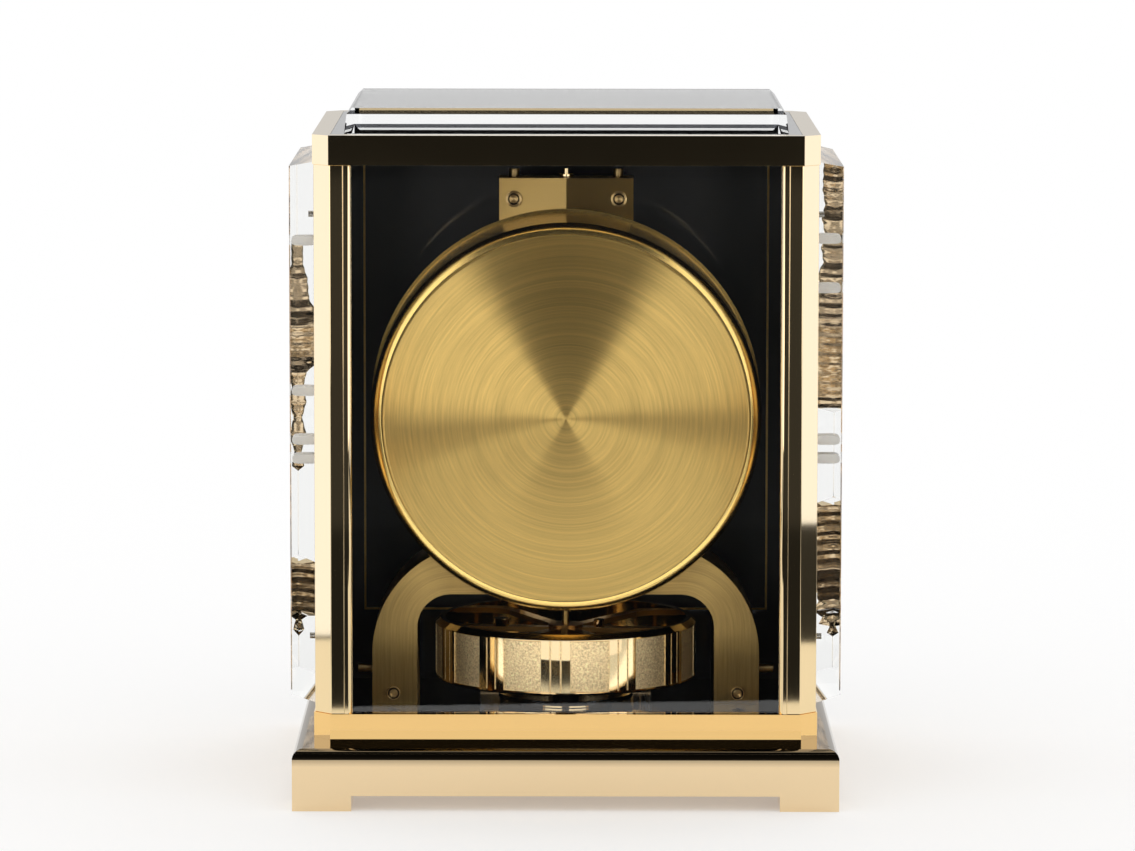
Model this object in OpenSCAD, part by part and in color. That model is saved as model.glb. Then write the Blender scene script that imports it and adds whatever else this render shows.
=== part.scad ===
// Glazed mantel clock wound by changes of air temperature, sizes in millimetres.
// Z is up, the floor is z = 0 and the origin is the middle of the plinth.
// The dial looks along -Y and the back glass, with the drum behind it, along +Y.

/* [Plinth] */
// Width of the plinth
base_w = 180; // [179:1:200]
// Depth of the plinth, front to back
base_d = 167; // [160:1:190]
// Height of the plinth's top above the floor
base_h = 20.4; // [18:0.2:26]
// Radius of the plinth's upper edges
base_edge_r = 3.3; // [1:0.1:5]
// Height of the cut-outs between the corner feet
foot_h = 5.1; // [3:0.1:7]
// Width of each corner foot
foot_w = 19.5; // [14:0.5:24]
// Radius of the threaded levelling feet
level_foot_r = 3.5; // [2.5:0.1:4.5]
// Length of the threaded levelling feet
level_foot_len = 11; // [8:0.5:12]

/* [Case frame] */
// Width over the two brass bands
case_w = 167.4; // [165:0.2:172]
// Depth over the two brass bands
case_d = 127; // [124:1:136]
// Width of the 45 degree flat on every upright corner
case_chamfer = 5.5; // [3:0.1:6]
// Wall of the two bands
band_wall = 6; // [5:0.1:6.5]
// Height of the lower band
low_band_h = 8.5; // [6:0.1:12]
// Height of the clear opening between the bands
opening_h = 182.5; // [180:0.5:200]
// Height of the upper band
top_band_h = 9.8; // [8:0.1:14]
// Width of a corner post, seen from the back
post_w = 9.9; // [9:0.1:10.5]
// Depth of a corner post, seen from the side
post_d = 12; // [11:0.5:13]
// Step from the bands back to the posts
post_step = 0.4; // [0.1:0.1:0.8]
// Thickness of the black deck and of the roof plate
deck_t = 2; // [1.5:0.1:3]

/* [Clear slab on the roof] */
// Width of the slab at its foot
slab_w = 146.5; // [130:0.5:150]
// Depth of the slab at its foot
slab_d = 110; // [90:1:112]
// Thickness of the slab
slab_t = 8.2; // [5:0.1:14]
// Width of the slab's top bevel
slab_bevel = 1.8; // [0.5:0.1:2.4]
// How far each side of the slab leans in below the bevel
slab_lean = 0.8; // [0.2:0.1:1.5]

/* [Crystal side blocks] */
// Thickness of a block
crystal_t = 9.7; // [6:0.1:12]
// Length of a block, front to back
crystal_len = 86; // [60:1:96]
// Fall of the top face towards its outer edge
crystal_top_fall = 1.7; // [0.5:0.1:4]
// Rise of the bottom face towards its outer edge
crystal_foot_rise = 3.2; // [0.5:0.1:5]
// Width of the frosted channels cut into the hidden face
channel_w = 3.1; // [1.5:0.1:4]
// Clear thickness left in front of the channels
channel_skin = 1; // [0.6:0.1:3]
// Clear length left between the channels and the ends
channel_end = 5; // [3:0.5:10]
// Thickness of the metal side panels
side_panel_t = 2; // [1.5:0.1:2.5]

/* [Glass and door] */
// Width of the gilt bead beside the back glass
bead_w = 2.6; // [1.5:0.1:3.5]
// Thickness of the glasses
glass_t = 2; // [1.5:0.1:2.4]
// Thickness of the door frame
door_t = 4.6; // [4:0.1:5]
// Width of the door's frame members
door_rail = 6; // [5:0.1:8]
// Height of the door knob's middle above the floor
door_knob_z = 120; // [80:1:160]
// Radius of the hinge pins
hinge_pin_r = 1; // [0.8:0.05:1.1]

/* [Dial] */
// Height of the hands' arbor above the floor
dial_z = 134; // [132:0.5:140]
// Outer radius of the chapter ring
chapter_r = 55; // [45:0.5:62]
// Width of the chapter ring
chapter_w = 13; // [8:0.5:16]
// Length of the minute hand
minute_hand_len = 50; // [40:0.5:54]
// Length of the hour hand
hour_hand_len = 35; // [25:0.5:40]
// Half width of the window that shows the balance
window_half_w = 30; // [20:1:34]
// Height of the balance window above the deck
window_h = 21; // [12:0.5:23]

/* [Drum] */
// Outer radius of the drum
drum_r = 65; // [60:0.5:66]
// Length of the drum along its axis
drum_len = 47.5; // [40:0.5:48]
// Height of the drum's axis above the floor
drum_z = 126.5; // [125:0.5:131]
// Radius of the drum's rounded rim
drum_rim_r = 4; // [2:0.1:6]
// Wall of the drum
drum_wall = 1.5; // [1:0.1:2]

/* [Arch and bracket] */
// Half width over the arch's legs
arch_half_w = 66.1; // [64:0.1:67]
// Width of a leg
arch_leg_w = 15.4; // [12:0.1:16]
// Height of the arch's top above the deck
arch_h = 55.4; // [54:0.1:58]
// Height of the arch's opening above the deck
arch_gap_h = 37.9; // [36:0.1:40]
// Radius of the arch's outer corners
arch_outer_r = 38; // [30:0.5:42]
// Radius of the arch's inner corners
arch_inner_r = 11.5; // [6:0.5:16]
// Depth of the arch, front to back
arch_d = 34; // [30:0.5:36]
// Width of the bracket above the drum
bracket_w = 45.4; // [40:0.2:50]
// Height of the bracket's back face
bracket_h = 15.5; // [14.7:0.1:17]
// Distance from the bracket's top up to the top of the opening
bracket_drop = 8.7; // [8:0.1:10]

/* [Balance] */
// Outer radius of the balance ring
ring_r = 44.6; // [40:0.1:46]
// Height of the balance ring
ring_h = 20.5; // [14:0.1:22]
// Wall of the balance ring
ring_wall = 3.4; // [2:0.1:5]
// Gap between the deck and the ring
ring_gap = 9.1; // [7:0.1:10]
// Number of groups of polished bars round the ring
bar_groups = 12; // [6:1:16]
// Width of one polished bar
bar_w = 2.9; // [1.5:0.1:3]
// Distance from bar to bar in a group
bar_pitch = 3.5; // [3.2:0.1:4]

/* [Movement] */
// Thickness of the movement plates
plate_t = 2.5; // [2:0.1:3]
// Width of the movement plates
plate_w = 84; // [76:1:90]
// Space between the movement plates
plate_gap = 15.5; // [15:0.1:16.5]
// Tooth size of the barrel wheel and its pinion, pitch diameter per tooth
barrel_module = 0.7; // [0.69:0.005:0.71]
// Tooth size of every other wheel, pitch diameter per tooth
train_module = 0.5; // [0.49:0.005:0.51]

/* [Hidden] */

$fn = 64;
// A little more than nothing, so that cuts pass through a face
eps = 0.01;
// Gap between a fixed piece and its seat where both are flat
seat_gap = 0.1;
// Radial gap of a shaft in its bore
run_gap = 0.05;
// Gap between pieces that pass each other
pass_gap = 0.3;
// Backwards and sideways margin of a through cut
cut = 1;

gold = [0.86, 0.7, 0.42];
brass = [0.72, 0.6, 0.36];
steel = [0.62, 0.62, 0.6];
black = [0.06, 0.06, 0.06];
clear = [0.86, 0.92, 0.94, 0.4];

// Levels
low_band_top = base_h + low_band_h;
opening_top = low_band_top + opening_h;
top_band_top = opening_top + top_band_h;
deck_top = base_h + deck_t;

// Threaded feet under the front corners
level_foot_x = base_w / 2 - foot_w / 2;
level_foot_y = -(base_d / 2 - foot_w / 2);

// Half widths of the case, measured to the posts and to the band's inner wall
post_x = case_w / 2 - post_step;
post_y = case_d / 2 - post_step;
post_in_x = post_x - post_w;
post_in_y = post_y - post_d;
band_in_x = case_w / 2 - band_wall;
band_in_y = case_d / 2 - band_wall;
side_panel_x = post_x - side_panel_t - 1;
crystal_x = side_panel_x + side_panel_t + seat_gap;
crystal_z0 = low_band_top + seat_gap;
crystal_h = opening_h - 2 * seat_gap;

// The levels of the level channels above the floor, left and right as the dial is read
channel_rows_left = [111.5, 117.8, 168.7, 185.2];
channel_rows_right = [111.2, 117.6, 134, 184.4];
// Places of the upright channels between them, from the middle, row by row
channel_joints = [[-18, 22], [8], [-27, 12], [-8, 30]];
screw_places = [for (y = [-0.36, 0.36], z = [0.12, 0.9]) [y * crystal_len, z * crystal_h]];
crystal_screw_r = 1;
crystal_screw_len = 4;

// Back glass
bead_t = 4;
rear_glass_y = post_y - bead_w / 2 - 0.2;

// Door: half of each hinge pin stands in a band and half in the door
hinge_pin_len = 6;
hinge_bore_len = hinge_pin_len / 2 + cut;
door_half_w = post_in_x - pass_gap;
door_z0 = low_band_top + 0.5;
door_h = opening_h - 1;
door_y = -post_y + door_t / 2;
hinge_x = -(door_half_w - door_t / 2);
door_glass_edge = 1.5;
knob_x = door_half_w - door_rail / 2;
knob_stem_r = 1.2;
knob_len = 4.4;

// Dial panel and what turns before it
panel_t = 2;
panel_y = -post_in_y;
chapter_t = 1;
hour_hand_y = panel_y - chapter_t - 3.4;
minute_hand_y = hour_hand_y - 1.6;
hand_t = 0.6;
hour_pipe_r = 2.5;
hour_angle = 305;
minute_angle = 55;
trim_half_w = 70.6;
trim_z0 = 47;
trim_line = 0.7;

// Fore and aft places of the motor and the movement
drum_space = 9.4;
drum_y = post_y - drum_len - drum_space;
drum_back_t = 1.5;
drum_back_r = drum_r + 1;
arch_y = drum_y - drum_back_t - 1;
// The balance turns midway between the faces of the arch and of the rear plate, this far from each
bal_setback = 6.5;
bal_y = arch_y - bal_setback;
rear_plate_y = bal_y - bal_setback;
gap_back_y = rear_plate_y - plate_t;
gap_front_y = gap_back_y - plate_gap;
front_plate_y = gap_front_y - plate_t;
arch_top = deck_top + arch_h;
bracket_top = opening_top - bracket_drop;
// The bracket is this high over its full depth; below that only its back face goes on
bracket_block_h = 12;
bracket_skirt_t = 3;
plate_top = bracket_top - 3;
// How far the plates stay inside the outlines of the drum and the bracket, which hide them
plate_inset = 3;
neck_inset = 0.5;
pillar_at = [for (x = [-36, 36], z = [drum_z - 40, drum_z + 40]) [x, z]];
pillar_r = 3;
pillar_end_r = 1.5;
standoff_at = [for (x = [-34, 34], z = [drum_z - 24, drum_z + 24]) [x, z]];

// Wheel train: tooth counts, then arbor places in the plane of the plates as [x, z]
barrel_teeth = 72;
center_pinion_teeth = 12;
center_teeth = 60;
third_pinion_teeth = 20;
third_teeth = 32;
escape_pinion_teeth = 24;
cannon_teeth = 10;
minute_teeth = 30;
minute_pinion_teeth = 8;
hour_teeth = 32;
escape_teeth = 15;
third_dir = -62;
escape_dir = -117;
minute_dir = 200;
function pitch_r(teeth, size) = teeth * size / 2;
function polar(p, dist, dir) = [p[0] + dist * cos(dir), p[1] + dist * sin(dir)];
center_at = [0, dial_z];
barrel_dist = pitch_r(barrel_teeth + center_pinion_teeth, barrel_module);
barrel_at = [0, dial_z + barrel_dist];
third_at = polar(center_at, pitch_r(center_teeth + third_pinion_teeth, train_module), third_dir);
escape_at = polar(third_at, pitch_r(third_teeth + escape_pinion_teeth, train_module), escape_dir);
minute_at = polar(center_at, pitch_r(cannon_teeth + minute_teeth, train_module), minute_dir);
// Turn that brings a tooth, or a gap, onto the line between two arbors
function half_tooth(teeth) = 180 / teeth;

// Layers of the train between the plates, measured forward from the rear plate's inner face
barrel_wheel_t = 2.4;
barrel_wheel_y = gap_back_y - 1.5;
barrel_drum_len = 8;
barrel_drum_r = pitch_r(barrel_teeth, barrel_module) - 3.6;
barrel_wall = 1.2;
center_wheel_y = gap_front_y + 2.2;
wheel_t = 1.2;
third_wheel_y = gap_back_y - 4.8;
escape_wheel_y = rear_plate_y + 2.1;
escape_wheel_t = 1;
escape_wheel_r = 8.5;
cannon_y = front_plate_y - 1;
hour_wheel_y = cannon_y - 3.8;
pivot_r = 0.5;
arbor_r = 1;
winding_r = 2;
// How far a pinion reaches past the face of the wheel that drives it
mesh_margin = 0.4;
// Play of an arbor along its axis
end_play = 0.2;

// Mainspring, wound outwards from the winding arbor
spring_turns = 6;
spring_t = 0.5;
spring_step = 12;
spring_in_r = winding_r + 1.6;
spring_out_r = barrel_drum_r - barrel_wall - spring_t - run_gap;
function spring_at(a, extra) = polar([0, 0],
    spring_in_r + (spring_out_r - spring_in_r) * a / (360 * spring_turns) + extra, a);

// Winding chain, its guide roller and its pulley
chain_t = 1;
chain_x = 9;
pulley_r = chain_x - chain_t / 2 - pass_gap;
ratchet_r = pulley_r + 0.7;
ratchet_depth = 1.2;
ratchet_teeth = 24;
roller_r = 2.2;
roller_axle_len = 5.6;
roller_y = bal_y - 0.8;
roller_z = drum_z + chain_t / 2 + pass_gap + roller_r;
cap_travel = 2;
cap_y = drum_y + 8 + cap_travel;
cap_t = 3;
capsule_r = 52;

// Balance
ring_z0 = deck_top + ring_gap;
ring_top = ring_z0 + ring_h;
hub_r = 6;
arm_z = ring_top - 5.5;
arm_t = 1.8;
arm_turn = -4.4;
staff_r = 1.2;
roller_z0 = arch_top + 3.4;
tube_r = 2.2;
tube_bore_r = 1.4;
tube_z0 = roller_z0 + 5;
tube_seat = 10;
wire_r = 0.25;
regulator_z = bracket_top + seat_gap;
wire_z1 = regulator_z + 1.4;
poising_at = [22.1, -11.5];
fork_pivot = [0, tube_z0 + 5];

// Balance lock
cup_r = 23;
lock_ring_r = 16;
lock_t = 1.5;
lock_reach = 50.5;

// Screws that show: middles as [x, z] on the arch and on the bracket
arch_screw_at = [arch_half_w - arch_leg_w / 2 + 0.4, deck_top + 3.8];
arch_screw_len = 8.5;
bracket_screw_at = [17.8, bracket_top - 7];
head_pin_x = 17.7;
screw_shank_r = 1.4;
screw_head_r = 2.25;
screw_head_t = 1.1;
stud_z = deck_top + 11.6;
stud_y = bal_y + 1;
stud_r = 1.5;

// A rectangle in the ground plane with its upright corners cut at 45 degrees
module chamfered_plan(w, d, c) {
    polygon([[-w / 2 + c, -d / 2], [w / 2 - c, -d / 2], [w / 2, -d / 2 + c], [w / 2, d / 2 - c],
        [w / 2 - c, d / 2], [-w / 2 + c, d / 2], [-w / 2, d / 2 - c], [-w / 2, -d / 2 + c]]);
}

// A flat outline drawn in x and z, extruded from y0 forward to y0 - t
module upright(y0, t) {
    translate([0, y0, 0]) rotate([90, 0, 0]) linear_extrude(t) children();
}

// A round bar along Y, from y0 forward to y0 - len, with its axis at p = [x, z]
module bar_y(p, r, y0, len) {
    translate([p[0], y0, p[1]]) rotate([90, 0, 0]) cylinder(r = r, h = len);
}

// A box from its low corner to its high corner
module box(a, b) {
    translate(a) cube(b - a);
}

// A toothed outline with the middle of a tooth at angle turn
module toothed(teeth, size, turn) {
    r = pitch_r(teeth, size);
    tip_r = r + 0.7 * size;
    root_r = r - 0.95 * size;
    step = 360 / teeth;
    polygon([for (i = [0 : teeth - 1], k = [[-0.3, root_r], [-0.12, tip_r], [0.12, tip_r], [0.3, root_r]])
        polar([0, 0], k[1], turn + (i + k[0]) * step)]);
}

// A toothed wheel on the arbor at p, from y0 forward to y0 - t, with five windows if wanted
module wheel(p, teeth, size, turn, y0, t, bore, rim = 0, hub = 0) {
    translate([p[0], 0, p[1]]) upright(y0, t) difference() {
        toothed(teeth, size, turn);
        if (bore > 0) circle(r = bore);
        if (rim > 0) difference() {
            circle(r = rim);
            circle(r = hub);
            for (i = [0 : 4]) rotate(i * 72) translate([0, -1]) square([rim + 1, 2]);
        }
    }
}

// A rectangle with rounded upper corners, standing on z = 0
module round_top_outline(w, h, r) {
    translate([-w / 2, 0]) square([w, h - r]);
    translate([-w / 2 + r, 0]) square([w - 2 * r, h]);
    for (s = [-1, 1]) translate([s * (w / 2 - r), h - r]) circle(r = r);
}

module base_plinth() {
    foot_x = base_w / 2 - foot_w;
    foot_y = base_d / 2 - foot_w;
    color(gold) difference() {
        intersection() {
            translate([0, base_d / 2, 0]) rotate([90, 0, 0])
                linear_extrude(base_d) round_top_outline(base_w, base_h, base_edge_r);
            translate([-base_w / 2, 0, 0]) rotate([90, 0, 90])
                linear_extrude(base_w) round_top_outline(base_d, base_h, base_edge_r);
        }
        box([-foot_x, -base_d, -cut], [foot_x, base_d, foot_h]);
        box([-base_w, -foot_y, -cut], [base_w, foot_y, foot_h]);
        for (s = [-1, 1]) translate([s * level_foot_x, level_foot_y, -cut])
            cylinder(r = level_foot_r + run_gap, h = level_foot_len + 1.5 + cut);
    }
}

// A threaded foot with a screwdriver slot in its underside
module level_foot(side) {
    color(steel) difference() {
        translate([side * level_foot_x, level_foot_y, 0.2]) cylinder(r = level_foot_r, h = level_foot_len);
        box([side * level_foot_x - level_foot_r, level_foot_y - 0.5, 0],
            [side * level_foot_x + level_foot_r, level_foot_y + 0.5, 1]);
    }
}

module level_foot_left() {
    level_foot(-1);
}

module level_foot_right() {
    level_foot(1);
}

module base_deck() {
    color(black) box([-band_in_x + seat_gap, -band_in_y + seat_gap, base_h],
        [band_in_x - seat_gap, band_in_y - seat_gap, deck_top]);
}

// One of the two bands: a frame with cut corners and bores for the door's hinge pins
module band(z0, h, pin_z0) {
    color(gold) difference() {
        translate([0, 0, z0]) linear_extrude(h) difference() {
            chamfered_plan(case_w, case_d, case_chamfer);
            square([2 * band_in_x, 2 * band_in_y], center = true);
        }
        translate([hinge_x, door_y, pin_z0]) cylinder(r = hinge_pin_r + run_gap, h = hinge_pin_len);
    }
}

module lower_band() {
    band(base_h, low_band_h, low_band_top - hinge_pin_len / 2);
}

module top_band() {
    band(opening_top, top_band_h, opening_top - hinge_pin_len / 2);
}

module post(sx, sy) {
    c = case_chamfer;
    color(gold) translate([0, 0, low_band_top]) linear_extrude(opening_h) scale([sx, sy]) polygon([
        [post_in_x, post_in_y], [post_x, post_in_y], [post_x, post_y - c], [post_x - c, post_y],
        [post_in_x, post_y]]);
}

module post_front_left() {
    post(-1, -1);
}

module post_front_right() {
    post(1, -1);
}

module post_rear_left() {
    post(-1, 1);
}

module post_rear_right() {
    post(1, 1);
}

module roof_plate() {
    color(black) box([-band_in_x + seat_gap, -band_in_y + seat_gap, top_band_top - deck_t],
        [band_in_x - seat_gap, band_in_y - seat_gap, top_band_top]);
}

// The slab's outline across one direction: leaning sides and a bevel at the top
module slab_outline(w) {
    shoulder = slab_t - slab_bevel;
    polygon([[-w / 2, 0], [w / 2, 0], [w / 2 - slab_lean, shoulder],
        [w / 2 - slab_lean - slab_bevel, slab_t], [-w / 2 + slab_lean + slab_bevel, slab_t],
        [-w / 2 + slab_lean, shoulder]]);
}

module roof_slab() {
    color(clear) translate([0, 0, top_band_top + seat_gap]) intersection() {
        translate([0, slab_d / 2, 0]) rotate([90, 0, 0]) linear_extrude(slab_d) slab_outline(slab_w);
        translate([-slab_w / 2, 0, 0]) rotate([90, 0, 90]) linear_extrude(slab_w) slab_outline(slab_d);
    }
}

// A side panel between the posts, bored for the screws that hold the crystal block
module side_panel(side) {
    color(gold) difference() {
        box([min(side * side_panel_x, side * (side_panel_x + side_panel_t)), -post_in_y, low_band_top],
            [max(side * side_panel_x, side * (side_panel_x + side_panel_t)), post_in_y, opening_top]);
        for (p = screw_places) translate([side * (side_panel_x - cut), p[0], crystal_z0 + p[1]])
            rotate([0, side * 90, 0]) cylinder(r = crystal_screw_r + run_gap, h = side_panel_t + 2 * cut);
    }
}

module side_panel_left() {
    side_panel(-1);
}

module side_panel_right() {
    side_panel(1);
}

// A clear block whose hidden face is cut by level and upright channels, like laid blocks
module crystal(side, rows) {
    half = crystal_len / 2;
    run = half - channel_end;
    depth = crystal_t - channel_skin;
    levels = concat([for (z = rows) z - crystal_z0], [crystal_h - channel_end]);
    color(clear) scale([side, 1, 1]) translate([crystal_x, 0, crystal_z0]) difference() {
        translate([0, half, 0]) rotate([90, 0, 0]) linear_extrude(crystal_len) polygon([[0, 0],
            [crystal_t, crystal_foot_rise], [crystal_t, crystal_h - crystal_top_fall], [0, crystal_h]]);
        for (z = [for (k = rows) k - crystal_z0])
            box([-cut, -run, z - channel_w / 2], [depth, run, z + channel_w / 2]);
        for (i = [0 : len(rows) - 1], y = channel_joints[i])
            box([-cut, y - channel_w / 2, levels[i] - eps], [depth, y + channel_w / 2, levels[i + 1] + eps]);
        for (p = screw_places) translate([-cut, p[0], p[1]]) rotate([0, 90, 0])
            cylinder(r = crystal_screw_r + run_gap, h = crystal_screw_len + cut);
    }
}

module crystal_left() {
    crystal(-1, channel_rows_left);
}

module crystal_right() {
    crystal(1, channel_rows_right);
}

// Pan-head screws that hold the crystal blocks from inside the case
module crystal_screws() {
    reach = crystal_screw_len + crystal_x - side_panel_x - 0.4;
    color(steel) for (side = [-1, 1], p = screw_places)
        translate([side * (side_panel_x - 1.2), p[0], crystal_z0 + p[1]]) rotate([0, side * 90, 0]) {
            cylinder(r = 2, h = 1.2);
            cylinder(r = crystal_screw_r, h = reach + 1.2);
        }
}

// The two upright gilt beads that hold the back glass against the posts
module rear_beads() {
    color(gold) for (s = [-1, 1]) translate([0, 0, low_band_top]) linear_extrude(opening_h)
        scale([s, 1]) difference() {
            union() {
                translate([post_in_x - bead_w, post_y - bead_t]) square([bead_w, bead_t - bead_w / 2]);
                translate([post_in_x - bead_w / 2, post_y - bead_w / 2]) circle(r = bead_w / 2);
                translate([post_in_x - bead_w / 2, post_y - bead_t]) square([bead_w / 2, bead_t]);
            }
            translate([post_in_x - bead_w - cut, rear_glass_y - glass_t - seat_gap])
                square([bead_w / 2 + cut, glass_t + 2 * seat_gap]);
        }
}

module rear_glass() {
    half = post_in_x - bead_w / 2 - seat_gap;
    color(clear) box([-half, rear_glass_y - glass_t, low_band_top + seat_gap],
        [half, rear_glass_y, opening_top - seat_gap]);
}

// The door: four rails with a channel for the glass and a round hinge edge
module door_frame() {
    inner = door_half_w - door_rail;
    groove = inner + door_glass_edge + seat_gap;
    color(gold) difference() {
        translate([0, 0, door_z0]) union() {
            translate([hinge_x, door_y - door_t / 2, 0]) cube([door_half_w - hinge_x, door_t, door_h]);
            translate([hinge_x, door_y, 0]) cylinder(r = door_t / 2, h = door_h);
        }
        box([-inner, -case_d, door_z0 + door_rail], [inner, 0, door_z0 + door_h - door_rail]);
        box([-groove, door_y - glass_t / 2 - seat_gap, door_z0 + door_rail - door_glass_edge - seat_gap],
            [groove, door_y + glass_t / 2 + seat_gap,
            door_z0 + door_h - door_rail + door_glass_edge + seat_gap]);
        for (z = [door_z0 - cut, door_z0 + door_h + cut - hinge_bore_len]) translate([hinge_x, door_y, z])
            cylinder(r = hinge_pin_r + run_gap, h = hinge_bore_len);
        translate([knob_x, door_y - door_t, door_knob_z]) rotate([-90, 0, 0])
            cylinder(r = knob_stem_r + run_gap, h = door_t / 2 + 2);
    }
}

module door_glass() {
    half = door_half_w - door_rail + door_glass_edge;
    color(clear) box([-half, door_y - glass_t / 2, door_z0 + door_rail - door_glass_edge],
        [half, door_y + glass_t / 2, door_z0 + door_h - door_rail + door_glass_edge]);
}

module door_knob() {
    face_y = door_y - door_t / 2;
    color(gold) {
        bar_y([knob_x, door_knob_z], knob_stem_r, face_y + 1.4, knob_len);
        bar_y([knob_x, door_knob_z], 1.9, face_y, 0.8);
        bar_y([knob_x, door_knob_z], 2.6, face_y - 2, knob_len - 2);
    }
}

module hinge_pins() {
    len = hinge_pin_len - 2 * seat_gap;
    color(steel) for (z = [low_band_top, opening_top])
        translate([hinge_x, door_y, z - len / 2]) cylinder(r = hinge_pin_r, h = len);
}

// The black panel that carries the dial, with the balance window at its foot
module dial_panel() {
    wide = side_panel_x - seat_gap;
    narrow = band_in_x - seat_gap;
    roof = top_band_top - deck_t;
    color(black) upright(panel_y + panel_t, panel_t) difference() {
        union() {
            translate([-wide, low_band_top]) square([2 * wide, opening_h]);
            translate([-narrow, deck_top]) square([2 * narrow, roof - deck_top]);
        }
        translate([-window_half_w, deck_top - cut]) square([2 * window_half_w, window_h + cut]);
        translate(center_at) circle(r = hour_pipe_r + pass_gap);
    }
}

// A thin gilt outline on the back of the dial panel
module dial_trim() {
    top = opening_top - 4;
    color(gold) upright(panel_y + panel_t + 0.4, 0.4) difference() {
        translate([-trim_half_w, trim_z0]) square([2 * trim_half_w, top - trim_z0]);
        translate([-trim_half_w + trim_line, trim_z0 + trim_line])
            square([2 * (trim_half_w - trim_line), top - trim_z0 - 2 * trim_line]);
    }
}

// The chapter ring with a raised bar at each hour
module chapter_ring() {
    color(gold) translate([0, 0, dial_z]) union() {
        upright(panel_y, chapter_t) difference() {
            circle(r = chapter_r);
            circle(r = chapter_r - chapter_w);
        }
        for (i = [0 : 11]) rotate([0, i * 30, 0])
            translate([-0.8, panel_y - chapter_t - 0.5, chapter_r - chapter_w + 2.5])
                cube([1.6, 0.5 + eps, chapter_w - 5]);
    }
}

// A hand lying in the plane y0, pointing along the clock angle given
module hand(len, w, hub, bore, y0, angle) {
    translate([0, 0, dial_z]) rotate([0, angle, 0]) upright(y0, hand_t) difference() {
        union() {
            circle(r = hub);
            polygon([[-w / 2, 0], [-w / 2, len * 0.82], [0, len], [w / 2, len * 0.82], [w / 2, 0],
                [w / 2, -len * 0.16], [-w / 2, -len * 0.16]]);
        }
        if (bore > 0) circle(r = bore);
    }
}

module hour_hand() {
    color(gold) hand(hour_hand_len, 3, 4, hour_pipe_r, hour_hand_y, hour_angle);
}

module minute_hand() {
    color(gold) hand(minute_hand_len, 2.2, 3.2, arbor_r, minute_hand_y, minute_angle);
}

// The outline shared by the two movement plates
module plate_outline() {
    intersection() {
        translate([-plate_w / 2, arch_top]) square([plate_w, plate_top - arch_top]);
        union() {
            translate([0, drum_z]) circle(r = drum_r - plate_inset);
            translate([neck_inset - bracket_w / 2, drum_z])
                square([bracket_w - 2 * neck_inset, plate_top - drum_z]);
        }
    }
}

module rear_plate() {
    ear_z = roller_z - 2;
    color(brass) {
        upright(rear_plate_y, plate_t) difference() {
            plate_outline();
            translate(barrel_at) circle(r = winding_r + run_gap);
            translate(center_at) circle(r = pivot_r + run_gap);
            translate(third_at) circle(r = pivot_r + run_gap);
            translate(escape_at) circle(r = arbor_r + run_gap);
            translate(fork_pivot) circle(r = pivot_r + run_gap);
            for (p = pillar_at) translate(p) circle(r = pillar_end_r + run_gap);
            for (s = [-1, 1]) translate([s * bracket_screw_at[0], bracket_screw_at[1]])
                circle(r = screw_shank_r + run_gap);
        }
        for (s = [-1, 1]) difference() {
            box([chain_x + s * 2.2 - 0.7, rear_plate_y - eps, ear_z],
                [chain_x + s * 2.2 + 0.7, roller_y + 1.6, roller_z + 2]);
            translate([chain_x, roller_y, roller_z]) rotate([0, 90, 0])
                cylinder(r = pivot_r + run_gap, h = roller_axle_len + 2 * cut, center = true);
        }
    }
}

module front_plate() {
    color(brass) {
        upright(gap_front_y, plate_t) difference() {
            plate_outline();
            translate(barrel_at) circle(r = arbor_r + run_gap);
            translate(center_at) circle(r = arbor_r + run_gap);
            translate(third_at) circle(r = pivot_r + run_gap);
            translate(escape_at) circle(r = pivot_r + run_gap);
            for (p = pillar_at) translate(p) circle(r = pillar_end_r + run_gap);
        }
        bar_y(minute_at, arbor_r, front_plate_y + eps, 7.6);
    }
}

module plate_pillars() {
    color(brass) for (p = pillar_at) {
        bar_y(p, pillar_r, gap_back_y, plate_gap);
        bar_y(p, pillar_end_r, rear_plate_y, plate_gap + 2 * plate_t);
    }
}

// The barrel: a toothed disc with an open drum that holds the mainspring
module barrel() {
    color(brass) {
        difference() {
            wheel(barrel_at, barrel_teeth, barrel_module, -90 + half_tooth(barrel_teeth),
                barrel_wheel_y, barrel_wheel_t, winding_r + run_gap);
            bar_y(barrel_at, barrel_drum_r - barrel_wall,
                barrel_wheel_y - barrel_wheel_t / 2, barrel_wheel_t);
        }
        difference() {
            bar_y(barrel_at, barrel_drum_r, barrel_wheel_y - barrel_wheel_t + eps, barrel_drum_len);
            bar_y(barrel_at, barrel_drum_r - barrel_wall, barrel_wheel_y, 2 * barrel_drum_len);
        }
    }
}

// The mainspring: a flat strip wound from the arbor's collet out to the barrel's wall
module mainspring() {
    angles = [0 : spring_step : 360 * spring_turns];
    back = [360 * spring_turns : -spring_step : 0];
    color(steel) translate([barrel_at[0], 0, barrel_at[1]])
        upright(barrel_wheel_y - barrel_wheel_t - 0.2, barrel_drum_len - 1)
            polygon(concat([for (a = angles) spring_at(a, 0)], [for (a = back) spring_at(a, spring_t)]));
}

// The winding arbor with its chain pulley and ratchet wheel behind the rear plate
module winding_arbor() {
    pulley_y = rear_plate_y + 4.3;
    color(steel) {
        bar_y(barrel_at, winding_r, pulley_y, pulley_y - gap_front_y - end_play);
        bar_y(barrel_at, arbor_r, gap_front_y + 1, plate_t);
        bar_y(barrel_at, pulley_r, pulley_y, 3);
        translate([barrel_at[0], 0, barrel_at[1]]) upright(rear_plate_y + 1, 0.7) polygon(
            [for (i = [0 : ratchet_teeth - 1], k = [[0, ratchet_r], [0.1, ratchet_r - ratchet_depth]])
                polar([0, 0], k[1], (i + k[0]) * 360 / ratchet_teeth)]);
    }
}

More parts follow.
